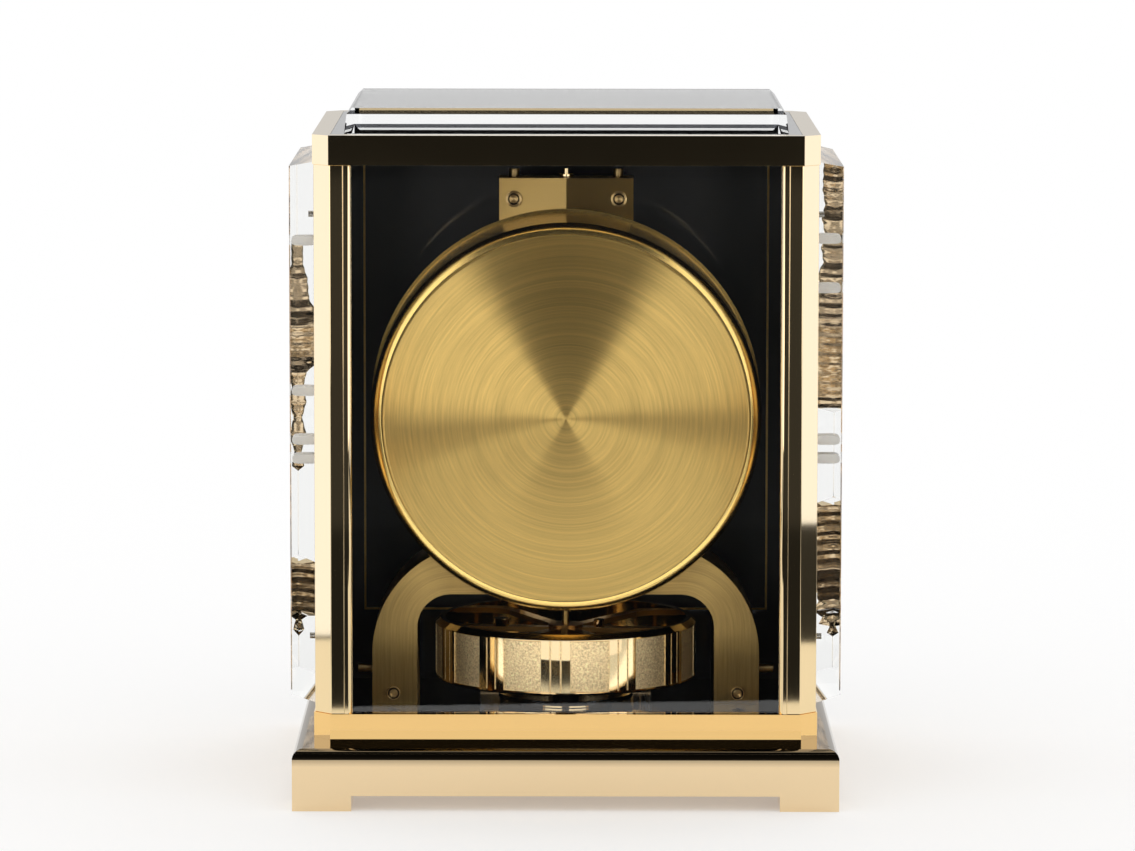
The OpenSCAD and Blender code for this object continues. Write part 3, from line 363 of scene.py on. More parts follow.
def painted_dark_ring(inner, outer, least):
    """Painted shade: a dark ring in the colour, least between the two distances and 1 elsewhere."""
    def shade(g, place, across):
        return g.math("SUBTRACT", 1.0, g.math("MULTIPLY", g.between(across, inner, outer), 1 - least))
    return shade


def grained(name, colour, groups, field, tilt, roughness, anisotropy, lines=3200.0, contrast=0.3, dome=0.0,
            spread=None, painted_shade=None):
    """Brushed metal: field gives the distance across the lines and the direction in which it grows. The
    gloss spreads along spread, or along that direction. dome is the slow lean of the face per metre, and
    painted_shade, if given, darkens the colour with a painted shade."""
    made, g, shader, place = new_material(name)
    shader.inputs["Metallic"].default_value = 1.0
    shader.inputs["Anisotropic"].default_value = anisotropy
    across, direction = field(g, place)
    grain = g.node("ShaderNodeGroup", node_tree=groups["grain"])
    g.put(grain.inputs["Place"], place)
    g.put(grain.inputs["Across"], across)
    g.put(grain.inputs["Direction"], direction)
    grain.inputs["Lines per metre"].default_value = lines
    grain.inputs["Tilt"].default_value = tilt
    grain.inputs["Lean per metre"].default_value = dome
    swing = g.math("SUBTRACT", grain.outputs["Shade"], 0.5)
    shade = g.math("ADD", g.math("MULTIPLY", swing, 2 * contrast), 1.0)
    # A painted shade, if given, darkens the grain's colour
    if painted_shade is not None:
        shade = g.math("MULTIPLY", shade, painted_shade(g, place, across))
    g.put(shader.inputs["Base Color"], g.vector("SCALE", tinted(g, groups, place, colour, 0.08), scale=shade))
    g.put(shader.inputs["Roughness"], marked(g, groups, place, roughness, 0.15))
    g.put(shader.inputs["Normal"], grain.outputs["Normal"])
    along = direction if spread is None else spread
    g.put(shader.inputs["Tangent"], g.to_world(along))
    return made


def glossy_black(name, colour, groups, roughness):
    """Black lacquer with faint marks under a clear coat."""
    made, g, shader, place = new_material(name)
    g.put(shader.inputs["Base Color"], tinted(g, groups, place, colour, 0.2))
    g.put(shader.inputs["Roughness"], marked(g, groups, place, roughness, 0.4))
    shader.inputs["Coat Weight"].default_value = 0.5
    shader.inputs["Coat Roughness"].default_value = 0.04
    return made


def painted_bevel_shade(low, high):
    """Painted shade: 1 on the bevels of the long sides of the slab that fills the box from low to high, where
    the glass is tinted dark.
    """
    middle, along, up = (low.y + high.y) / 2, (high.y - low.y) / 2 - SLAB_BEVEL, high.z - SLAB_BEVEL

    def painted_shade_mask(g, place):
        parts = g.parts(place)
        away = g.math("ABSOLUTE", g.math("SUBTRACT", parts["Y"], middle))
        return g.math("MULTIPLY", g.math("GREATER_THAN", away, along),
                      g.math("GREATER_THAN", parts["Z"], up))
    return painted_shade_mask


def clear(name, colour, groups, index, painted_shade_mask=None):
    """Clear glass, which casts no shadow and lets the soft light through. It is tinted dark where
    painted_shade_mask is 1, a painted shade.
    """
    made, g, shader, place = new_material(name)
    shader.inputs["Base Color"].default_value = colour
    if painted_shade_mask is not None:
        # Near-black tint of the glass where the mask is 1: painted shade
        g.put(shader.inputs["Base Color"], g.mix(painted_shade_mask(g, place), colour, (0.015, 0.016, 0.018, 1)))
    shader.inputs["IOR"].default_value = index
    shader.inputs["Transmission Weight"].default_value = 1.0
    g.put(shader.inputs["Roughness"], marked(g, groups, place, 0.004, 0.6))
    path = g.node("ShaderNodeLightPath")
    open_path = g.node("ShaderNodeBsdfTransparent")
    mixed = g.node("ShaderNodeMixShader", {"Fac": g.math("MAXIMUM", path.outputs["Is Shadow Ray"],
                                                         path.outputs["Is Diffuse Ray"])})
    g.put(mixed.inputs[1], shader.outputs[0])
    g.put(mixed.inputs[2], open_path.outputs[0])
    output = made.node_tree.nodes["Material Output"]
    g.put(output.inputs["Surface"], mixed.outputs[0])
    return made


def frosted(name, colour, groups):
    """Ground glass: white, half clear and rough."""
    made, g, shader, place = new_material(name)
    g.put(shader.inputs["Base Color"], tinted(g, groups, place, colour, 0.25))
    g.put(shader.inputs["Roughness"], marked(g, groups, place, 0.6, 0.3))
    shader.inputs["Transmission Weight"].default_value = 0.45
    shader.inputs["IOR"].default_value = 1.2
    g.put(shader.inputs["Normal"], g.bump(g.noise(place, 1600.0, 2.0), 0.6, 0.0002))
    return made


def ribbed(name, colour, groups, pitch, scallop):
    """Gilt relief behind the crystals: level ribs over slow scallops, both sines of the height, with
    lumps."""
    rib_depth, scallop_depth, lump_depth, scallop_turn = 0.00001, 0.00012, 0.0007, 45.0
    made, g, shader, place = new_material(name)
    shader.inputs["Metallic"].default_value = 1.0
    g.put(shader.inputs["Base Color"], tinted(g, groups, place, colour, 0.25))
    g.put(shader.inputs["Roughness"], marked(g, groups, place, 0.2, 0.4))
    parts = g.parts(place)
    fine = g.math("SINE", g.math("MULTIPLY", parts["Z"], 2 * math.pi / pitch))
    slow = g.math("SINE", g.math("ADD", g.math("MULTIPLY", parts["Z"], 2 * math.pi / scallop),
                                 g.math("MULTIPLY", parts["Y"], scallop_turn)))
    lumps = g.noise(place, 230.0, 1.0)
    height = g.math("ADD", g.math("MULTIPLY", fine, rib_depth), g.math("MULTIPLY", slow, scallop_depth))
    height = g.math("ADD", height, g.math("MULTIPLY", lumps, lump_depth))
    g.put(shader.inputs["Normal"], g.bump(height, 1.0, 1.0))
    return made


def two_toned(name, far, near, groups, axis, limit):
    """Polish in two tones, far where the distance from 0 along axis is over limit and near elsewhere. Each
    is a colour and how metallic it is."""
    made, g, shader, place = new_material(name)
    parts = g.parts(place)
    outer = g.math("GREATER_THAN", g.math("ABSOLUTE", parts[axis]), limit)
    g.put(shader.inputs["Base Color"], g.mix(outer, near[0], far[0]))
    g.put(shader.inputs["Metallic"], g.math("ADD", g.math("MULTIPLY", outer, far[1] - near[1]), near[1]))
    g.put(shader.inputs["Roughness"], marked(g, groups, place, 0.12, 0.4))
    return made


def balance_metal(name, colour, groups, axis_place, bar_radius, low, high):
    """The balance ring: frosted ground between polished bars and rims, whose grit swings the colour to bright
    and dark specks, partly the grit's own tone and partly painted sparkle. The ground is what lies between
    the two heights and up to ground_depth inside bar_radius."""
    ground_depth, painted_sparkle = 0.0007, 2.4
    polished_roughness, ground_roughness = 0.07, 0.53
    made, g, shader, place = new_material(name)
    shader.inputs["Metallic"].default_value = 1.0
    parts = g.parts(place)
    flat = g.vector("MULTIPLY", g.vector("SUBTRACT", place, tuple(axis_place)), (1.0, 1.0, 0.0))
    radius = g.vector("LENGTH", flat)
    ground = g.math("MULTIPLY", g.between(parts["Z"], low, high),
                    g.math("MULTIPLY", g.math("LESS_THAN", radius, bar_radius),
                           g.math("GREATER_THAN", radius, bar_radius - ground_depth)))
    grit = g.noise(place, 1500.0, 3.0, 0.85)
    bump = g.bump(g.math("MULTIPLY", grit, ground), 0.8, 0.0003)
    # The grit's swing in the ground's colour is partly its own tone and partly painted sparkle
    shade = g.math("ADD", g.math("MULTIPLY", g.math("SUBTRACT", grit, 0.5),
                                 g.math("MULTIPLY", ground, painted_sparkle)), 1.0)
    g.put(shader.inputs["Base Color"], g.vector("SCALE", colour[:3], scale=shade))
    g.put(shader.inputs["Roughness"], g.math(
        "ADD", g.math("MULTIPLY", ground, ground_roughness - polished_roughness), polished_roughness))
    g.put(shader.inputs["Normal"], bump)
    return made


# ---- numpy surfaces


def surface(name, points, closed_u, closed_v, material, body, capped=False, crease=None):
    """A mesh from a grid of points, rows by columns, joined into quads and closed where asked. capped
    closes the first and the last row with a face each, and edges over crease stay sharp."""
    rows, columns = points.shape[:2]
    index = np.arange(rows * columns).reshape(rows, columns)
    if closed_u:
        index = np.vstack([index, index[:1]])
    if closed_v:
        index = np.hstack([index, index[:, :1]])
    quads = np.stack([index[:-1, :-1], index[:-1, 1:], index[1:, 1:], index[1:, :-1]], -1).reshape(-1, 4)
    faces = quads.tolist()
    if capped:
        faces += [index[0, :columns][::-1].tolist(), index[-1, :columns].tolist()]
    mesh = bpy.data.meshes.new(name)
    mesh.from_pydata(points.reshape(-1, 3), [], faces)
    mesh.validate()
    mesh.shade_smooth()
    if crease is not None:
        mesh.set_sharp_from_angle(angle=crease)
    made = bpy.data.objects.new(name, mesh)
    bpy.context.scene.collection.objects.link(made)
    made.data.materials.append(material)
    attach(made, body)
    return made


def arc(middle, radius, start, end, steps):
    """Points on a circle of the given radius, from angle start to angle end."""
    a = np.linspace(start, end, steps)
    return np.stack([middle[0] + radius * np.cos(a), middle[1] + radius * np.sin(a)], -1)


# Rows of the drum's profile from its mouth to the end of its rounded rim, and the rim's angle there
DRUM_RIM_ROWS = 25
DRUM_RIM_END = math.radians(79)

# The drum's wall, the radius of its rim, the depth of its dome, and its segments round the axis
DRUM_WALL = 0.0015
DRUM_RIM = 0.0046
DRUM_DOME = 0.0012
DRUM_SEGMENTS = 256


def drum_profile(outer, length, wall, rim, dome):
    """Closed outline of the drum in (radius, height): a mouth, a straight wall, a rounded rim of radius
    rim that meets the face at DRUM_RIM_END, a face that sinks by dome times the square of the share of the
    radius, then the inside."""
    top = length - dome
    # The share of its radius where the face ends, so that its middle stays open, and the straight wall's
    # distance from the rim
    least_share, wall_end = 0.0005, 0.0005
    share = np.linspace(1, least_share, 60)
    middle = (outer - rim, top - rim * math.sin(DRUM_RIM_END))
    flat = middle[0] + rim * math.cos(DRUM_RIM_END)
    face = np.stack([flat * share, length - dome * share ** 2], -1)
    return np.vstack([
        [[outer, 0.0]], [[outer, middle[1] - wall_end]],
        arc(middle, rim, 0, DRUM_RIM_END, DRUM_RIM_ROWS - 1), face,
        np.stack([(flat * share)[::-1], (top - wall) + 0 * share], -1),
        arc(middle, rim - wall, DRUM_RIM_END, 0, 16), [[outer - wall, 0.0]]])


def revolve_y(profile, centre, start_y, segments):
    """The profile's (radius, height) points turned about the axis along Y through centre."""
    a = np.linspace(0, 2 * math.pi, segments, endpoint=False)[None, :]
    radius, height = profile[:, 0][:, None], profile[:, 1][:, None]
    return np.stack([centre[0] + radius * np.sin(a), start_y + height + 0 * a,
                     centre[2] + radius * np.cos(a)], -1)


# ---- the side crystals: pairs of height and depth of the cut, and heights of the channels, in millimetres

CUTS_RIGHT = [
    (29, 0), (40, 0), (43, 2), (46, 1), (48, 3), (50, 9.2), (67, 9.2), (69, 0), (99, 0), (101, 2.2),
    (106, 1.2), (112, 3), (118, 1.5), (124, 3), (129, 2), (134, 3), (137, 6), (140, 9.2), (152, 9.2),
    (156, 6), (160, 4), (167, 3.5), (172, 2), (180, 2), (182, 0), (212, 0)]
CUTS_LEFT = [
    (29, 0), (40, 0), (42, 2), (44, 1), (46, 5), (48, 3.5), (51, 7), (54, 5), (61, 6.5), (65, 9.2),
    (88, 9.2), (90, 0), (120, 0), (122, 6), (126, 9.2), (152, 9.2), (158, 7), (164, 5), (168, 6.2),
    (173, 4), (178, 4.8), (183, 3.6), (188, 4.6), (193, 3.6), (198, 4.4), (212, 4)]
ROWS_RIGHT = (111.2, 117.6, 134.0, 184.4)
ROWS_LEFT = (111.5, 117.8, 168.7, 185.2)

# In metres: height of a channel, its run from end to end at the photograph's side, and how far its sides
# stay from the block's
CHANNEL_HEIGHT = 0.0031
CHANNEL_RUN = (0.028, 0.038)
CHANNEL_MARGIN = 0.0006

# In metres: the slopes of a block's foot and top, its bevel, the ripple of its cut as a share and a pitch,
# and what the cut leaves at least
BLOCK_FOOT_RISE = 0.0032
BLOCK_TOP_FALL = 0.0017
BLOCK_BEVEL = 0.0004
RIPPLE_SHARE = 0.03
RIPPLE_PITCH = 0.0034
LEAST_CUT = 0.00005
LEAST_REST = 0.0003

# In metres: how far the gilt sheet lies inside the glass, its thickness, and its distances from the
# block's sides, foot and top
FOIL_INSET = 0.0001
FOIL_THICKNESS = 0.00003
FOIL_SIDE, FOIL_FOOT, FOIL_TOP = 0.0004, 0.0008, 0.0006


# ---- settings


class CLOCK_PG_finish(bpy.types.PropertyGroup):
    gilt: bpy.props.FloatVectorProperty(
        name="Gilding", description="Colour of the polished gilt case", size=4, min=0, max=1,
        subtype="COLOR", default=rgb(243, 218, 170))
    plinth: bpy.props.FloatVectorProperty(
        name="Plinth gilding", description="Colour of the paler gilding of the plinth", size=4, min=0, max=1,
        subtype="COLOR", default=rgb(240, 214, 172))
    band: bpy.props.FloatVectorProperty(
        name="Lower band gilding", description="Colour of the warmer gilding of the lower band", size=4,
        min=0, max=1, subtype="COLOR", default=rgb(246, 204, 134))
    foil: bpy.props.FloatVectorProperty(
        name="Gilt relief", description="Colour of the gilt relief behind the side crystals", size=4,
        min=0, max=1, subtype="COLOR", default=rgb(240, 214, 176))
    drum: bpy.props.FloatVectorProperty(
        name="Drum brass", description="Colour of the circular brushed drum", size=4, min=0, max=1,
        subtype="COLOR", default=rgb(230, 196, 118))
    frame: bpy.props.FloatVectorProperty(
        name="Movement brass", description="Colour of the arch, the bracket and the plates", size=4,
        min=0, max=1, subtype="COLOR", default=rgb(206, 174, 108))
    steel: bpy.props.FloatVectorProperty(
        name="Steel", description="Colour of the arbors, the chain and the screws", size=4, min=0,
        max=1, subtype="COLOR", default=rgb(190, 190, 186))
    black: bpy.props.FloatVectorProperty(
        name="Black", description="Colour of the lacquered panels", size=4, min=0, max=1,
        subtype="COLOR", default=rgb(18, 19, 19))
    drum_spread: bpy.props.FloatProperty(
        name="Drum gloss", description="How far the gloss of the drum's brushed lines spreads", min=0,
        max=1, default=0.42)
    edge: bpy.props.FloatProperty(
        name="Edge radius", description="Rounding of the polished case edges", unit="LENGTH", min=0,
        max=0.001, default=0.00022)


class CLOCK_PG_stage(bpy.types.PropertyGroup):
    floor_size: bpy.props.FloatProperty(
        name="Floor size", description="Side of the pale floor", unit="LENGTH", min=1, max=60, default=40.0)
    table_reach: bpy.props.FloatProperty(
        name="Table reach", description="How far the white table reaches behind the clock in reflections",
        unit="LENGTH", min=0.1, max=2, default=0.245)
    softbox: bpy.props.FloatProperty(
        name="Softboxes", description="Brightness of the two side softboxes in reflections", min=0, max=6,
        default=1.35)
    wall: bpy.props.FloatProperty(
        name="Bright walls", description="Brightness of the walls at both sides of the camera in reflections",
        min=0, max=6, default=1.9)
    wedge: bpy.props.FloatProperty(
        name="Dark wedge", description="Half angle of the dark wedge above the camera in reflections",
        subtype="ANGLE", min=0.1, max=1.4, default=math.radians(35))
    light: bpy.props.FloatProperty(
        name="Light", description="Strength of the even studio light", min=0, max=3, default=1.0)


# ---- operators

GROUPS = {}
LOOKS = {}


def looks():
    """The materials, made once from the settings."""
    if LOOKS:
        return LOOKS
    s = bpy.context.scene.clock_finish
    GROUPS["grain"] = grain_group()
    GROUPS["wear"] = wear_group()
    GROUPS["waves"] = waves_group()
    drum_middle = centre_of("capsule_drum")
    ring_low, ring_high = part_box("balance_ring")
    ring_middle = (ring_low + ring_high) / 2
    ring_radius = (ring_high.x - ring_low.x) / 2
    bracket_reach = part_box("top_bracket")[1].x + BRACKET_LEAN_START
    panel = centre_of("side_panel_right")
    chapter_front = -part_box("chapter_ring")[0].y - HOUR_BAR_RISE
    black = tuple(s.black)
    frame_metal = tuple(s.frame)
    LOOKS.update(
        gilt=polished("Gilt brass", tuple(s.gilt), GROUPS),
        # The plinth's rounded upper edge grows darker towards the top: painted shade for the dark that it
        # reflects
        plinth=polished("Plinth gilding", tuple(s.plinth), GROUPS, painted_shade=painted_height_shade(*PLINTH_PAINTED_SHADE)),
        band=polished("Lower band gilding", tuple(s.band), GROUPS, 0.06),
        movement=grained("Brushed brass", frame_metal, GROUPS, straight_lines((0.0, 0.0, 1.0)), tilt=0.1,
                         roughness=0.4, anisotropy=0.8),
        # The arch's legs grow darker towards the feet: painted shade
        arch=grained("Arch brass", frame_metal, GROUPS, arch_lines(*ARCH_CORNER), tilt=0.12, roughness=0.42,
                     anisotropy=0.75, lines=1700.0, contrast=0.55, painted_shade=painted_height_shade(*ARCH_PAINTED_SHADE)),
        drum=grained("Drum brass", tuple(s.drum), GROUPS, round_lines(drum_middle), tilt=0.1,
                     roughness=s.drum_spread, anisotropy=1.0, lines=1700.0, contrast=0.5, dome=10.0),
        rim=polished("Drum rim", tuple(s.drum), GROUPS, 0.2),
        # The balance arms' gilding is darkened: painted shade for the arms that lie in the drum's shade
        arms=polished("Balance arm gilt in painted shade", rgb(168, 128, 70), GROUPS, 0.3),
        # The screw heads get a painted dark ring: painted shade
        screw=grained("Screw brass", rgb(222, 190, 132), GROUPS, screw_lines(BRACKET_SCREW, FOOT_SCREW, 0.1),
                      tilt=0.1, roughness=0.35, anisotropy=0.9, lines=4000.0, contrast=0.3,
                      painted_shade=painted_dark_ring(*SCREW_PAINTED_RING)),
        steel=polished("Steel", tuple(s.steel), GROUPS, 0.22),
        deck=glossy_black("Black lacquer", black, GROUPS, 0.1),
        dial=glossy_black("Dial lacquer", black, GROUPS, 0.35),
        ring=balance_metal("Balance gilt", tuple(s.gilt), GROUPS, ring_middle, ring_radius - RING_SKIN,
                           ring_low.z + GROUND_FOOT, ring_high.z - GROUND_TOP),
        glass=clear("Window glass", (0.97, 0.985, 0.98, 1), GROUPS, WINDOW_INDEX),
        crystal=clear("Side crystal", (0.965, 0.97, 0.96, 1), GROUPS, CRYSTAL_INDEX),
        frost=frosted("Frosted glass", (0.85, 0.86, 0.85, 1), GROUPS),
        foil=ribbed("Gilt relief", tuple(s.foil), GROUPS, pitch=0.0011, scallop=0.0068),
        bracket=grained("Bracket brass", frame_metal, GROUPS, bracket_lines(bracket_reach), tilt=0.02,
                        roughness=0.34, anisotropy=0.9, lines=2600.0, contrast=0.06, dome=7.0,
                        spread=(0.0, 0.0, 1.0)),
        # The slab's long bevels are tinted dark: painted shade
        slab=clear("Roof crystal", (0.985, 0.99, 0.985, 1), GROUPS, CRYSTAL_INDEX,
                   painted_bevel_shade(*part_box("roof_slab"))),
        panel=two_toned("Side panel", (tuple(s.gilt), 1.0), (black, 0.0), GROUPS, "X", panel.x),
        chapter=two_toned("Chapter ring", (black, 0.0), (tuple(s.gilt), 1.0), GROUPS, "Y", chapter_front))
    return LOOKS


def rounded(node, width):
    """Rounds a CAD node's edges: joins its loose corners, then bevels every edge over 30 degrees."""
    weld = NODES[node].modifiers.new("Joined corners", "WELD")
    weld.merge_threshold = 1e-6
    bevel = NODES[node].modifiers.new("Rounded edges", "BEVEL")
    bevel.width = width
    bevel.segments = 2
    bevel.limit_method = "ANGLE"
    bevel.angle_limit = math.radians(30)
    bevel.harden_normals = True


def finish_nodes(names, look):
    """Gives CAD nodes one material in place of all that they have."""
    for name in names:
        slots = NODES[name].data.materials
        slots.clear()
        slots.append(look)


class CLOCK_OT_case(bpy.types.Operator):
    """Gilds the case and the hands, blackens the deck, roof and dial, and rounds bands, posts and beads"""
    bl_idname = "clock.case"
    bl_label = "Case"

    def execute(self, context):
        made = looks()
        edged = ["top_band", "post_front_left", "post_front_right", "post_rear_left", "post_rear_right",
                 "rear_beads"]
        finish_nodes(edged, made["gilt"])
        finish_nodes(["door_frame", "door_knob", "hour_hand", "minute_hand", "lock_lever", "poising_screws",
                      "regulator"], made["gilt"])
        finish_nodes(["base_plinth"], made["plinth"])
        finish_nodes(["lower_band"], made["band"])
        finish_nodes(["side_panel_left", "side_panel_right"], made["panel"])
        finish_nodes(["base_deck", "roof_plate", "lift_cup"], made["deck"])
        finish_nodes(["chapter_ring"], made["chapter"])
        finish_nodes(["dial_panel"], made["dial"])
        for name in ("lower_band", *edged):
            rounded(name, context.scene.clock_finish.edge)
        return {"FINISHED"}


class CLOCK_OT_glass(bpy.types.Operator):
    """Gives the panes, the side blocks, the roof slab and the spirit level their glass"""
    bl_idname = "clock.glass"
    bl_label = "Glass"

    def execute(self, context):
        made = looks()
        finish_nodes(["rear_glass", "door_glass", "spirit_level"], made["glass"])
        finish_nodes(["roof_slab"], made["slab"])
        for side, cuts, rows in (("left", CUTS_LEFT, ROWS_LEFT), ("right", CUTS_RIGHT, ROWS_RIGHT)):
            low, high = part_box("crystal_" + side)
            sign = -1 if side == "left" else 1
            hidden, thick = (high.x if side == "left" else low.x), high.x - low.x
            self.block(side, low, high, hidden, sign, thick, np.array(cuts), made["crystal"])
            self.foil(side, low, high, hidden, sign, made["foil"])
            for number, row in enumerate(rows, 1):
                self.channel(side + "_" + str(number), hidden, sign, thick, row, made["frost"])
        return {"FINISHED"}

    def block(self, side, low, high, hidden, sign, thick, cuts, look):
        """A block: at each height a rectangle whose outer corner at the dial's end is cut at 45 degrees, by
        a depth that runs in straight lines through the given pairs of height and depth, in millimetres, times
        1 plus a small sine of the height. The top falls and the foot rises outwards."""
        level = np.linspace(0, 1, 520)
        height = low.z + level * (high.z - low.z)
        cut = np.interp(height * 1000, cuts[:, 0], cuts[:, 1]) / 1000
        cut = cut * (1 + RIPPLE_SHARE * np.sin(2 * math.pi * height / RIPPLE_PITCH))
        cut = np.clip(cut, LEAST_CUT, thick - LEAST_REST)
        zero = 0 * cut
        near, far = zero + low.y, zero + high.y
        out = np.stack([zero, zero, zero + thick - BLOCK_BEVEL, zero + thick, zero + thick, thick - cut], -1)
        along = np.stack([near, far, far, far - BLOCK_BEVEL, near + cut, near], -1)
        share = out / thick
        bottom = low.z + BLOCK_FOOT_RISE * share
        top = high.z - BLOCK_TOP_FALL * share
        up = bottom + level[:, None] * (top - bottom)
        grid = np.stack([hidden + sign * out, along, up], -1)
        if sign > 0:
            grid = grid[:, ::-1]
        block = surface("crystal_block_" + side, grid, False, True, look, "case", True,
                        math.radians(20))
        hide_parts("crystal_" + side)

    def foil(self, side, low, high, hidden, sign, look):
        """Gilt relief on a block's hidden face, a flat sheet just inside the glass."""
        y = np.array([low.y + FOIL_SIDE, high.y - FOIL_SIDE])
        z = np.array([low.z + FOIL_FOOT, high.z - FOIL_TOP])
        across, up = np.meshgrid(y, z)
        grid = np.stack([hidden + sign * FOIL_INSET + 0 * up, across, up], -1)
        sheet = surface("crystal_foil_" + side, grid, False, False, look, "case")
        solid = sheet.modifiers.new("Foil", "SOLIDIFY")
        solid.thickness = FOIL_THICKNESS

    def channel(self, name, hidden, sign, thick, row, look):
        """A frosted level channel: a rounded bar whose section is a superellipse of power 4."""
        a = np.linspace(0, 2 * math.pi, 32, endpoint=False)
        c, s = np.cos(a), np.sin(a)
        x = np.sign(c) * np.abs(c) ** 0.5 * (thick / 2 - CHANNEL_MARGIN)
        z = np.sign(s) * np.abs(s) ** 0.5 * CHANNEL_HEIGHT / 2
        y = np.array(CHANNEL_RUN)[:, None]
        grid = np.stack([hidden + sign * thick / 2 + x + 0 * y, y + 0 * x, row / 1000 + z + 0 * y], -1)
        surface("crystal_channel_" + name, grid[::-1], False, True, look, "case", True,
                math.radians(40))


class CLOCK_OT_drum(bpy.types.Operator):
    """Turns the capsule drum with its rounded rim and slightly domed face, and polishes the disc behind it"""
    bl_idname = "clock.drum"
    bl_label = "Drum"

    def execute(self, context):
        made = looks()
        low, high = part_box("capsule_drum")
        middle = (low + high) / 2
        profile = drum_profile((high.x - low.x) / 2, high.y - low.y, DRUM_WALL, DRUM_RIM, DRUM_DOME)
        points = revolve_y(profile, middle, low.y, DRUM_SEGMENTS)
        drum = surface("drum_shell", points, True, True, made["drum"], "case")
        drum.data.materials.append(made["rim"])
        row = np.arange(len(drum.data.polygons)) // points.shape[1]
        drum.data.polygons.foreach_set("material_index", (row < DRUM_RIM_ROWS).astype(np.int32))
        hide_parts("capsule_drum")
        finish_nodes(["drum_back"], made["rim"])
        return {"FINISHED"}


class CLOCK_OT_movement(bpy.types.Operator):
    """Finishes the arch, the bracket, the wheels and every steel piece"""
    bl_idname = "clock.movement"
    bl_label = "Movement"

    def execute(self, context):
        made = looks()
        brass = ["rear_plate", "front_plate", "plate_pillars", "barrel", "center_wheel", "third_wheel",
                 "escape_wheel", "minute_wheel", "hour_wheel", "guide_roller", "suspension_tube",
                 "balance_staff", "dial_trim"]
        steel = ["level_foot_left", "level_foot_right", "crystal_screws", "hinge_pins", "mainspring",
                 "winding_arbor", "escape_lever", "gas_capsule", "capsule_cap", "winding_chain",
                 "pulley_chain", "suspension_wire"]
        finish_nodes(brass, made["movement"])
        finish_nodes(steel, made["steel"])
        finish_nodes(["balance_ring"], made["ring"])
        finish_nodes(["balance_arms"], made["arms"])
        finish_nodes(["arch_frame"], made["arch"])
        finish_nodes(["frame_screws"], made["screw"])
        finish_nodes(["top_bracket"], made["bracket"])
        for name, width in (("arch_frame", 0.00012), ("top_bracket", 0.00012), ("frame_screws", 0.0003)):
            rounded(name, width)
        return {"FINISHED"}


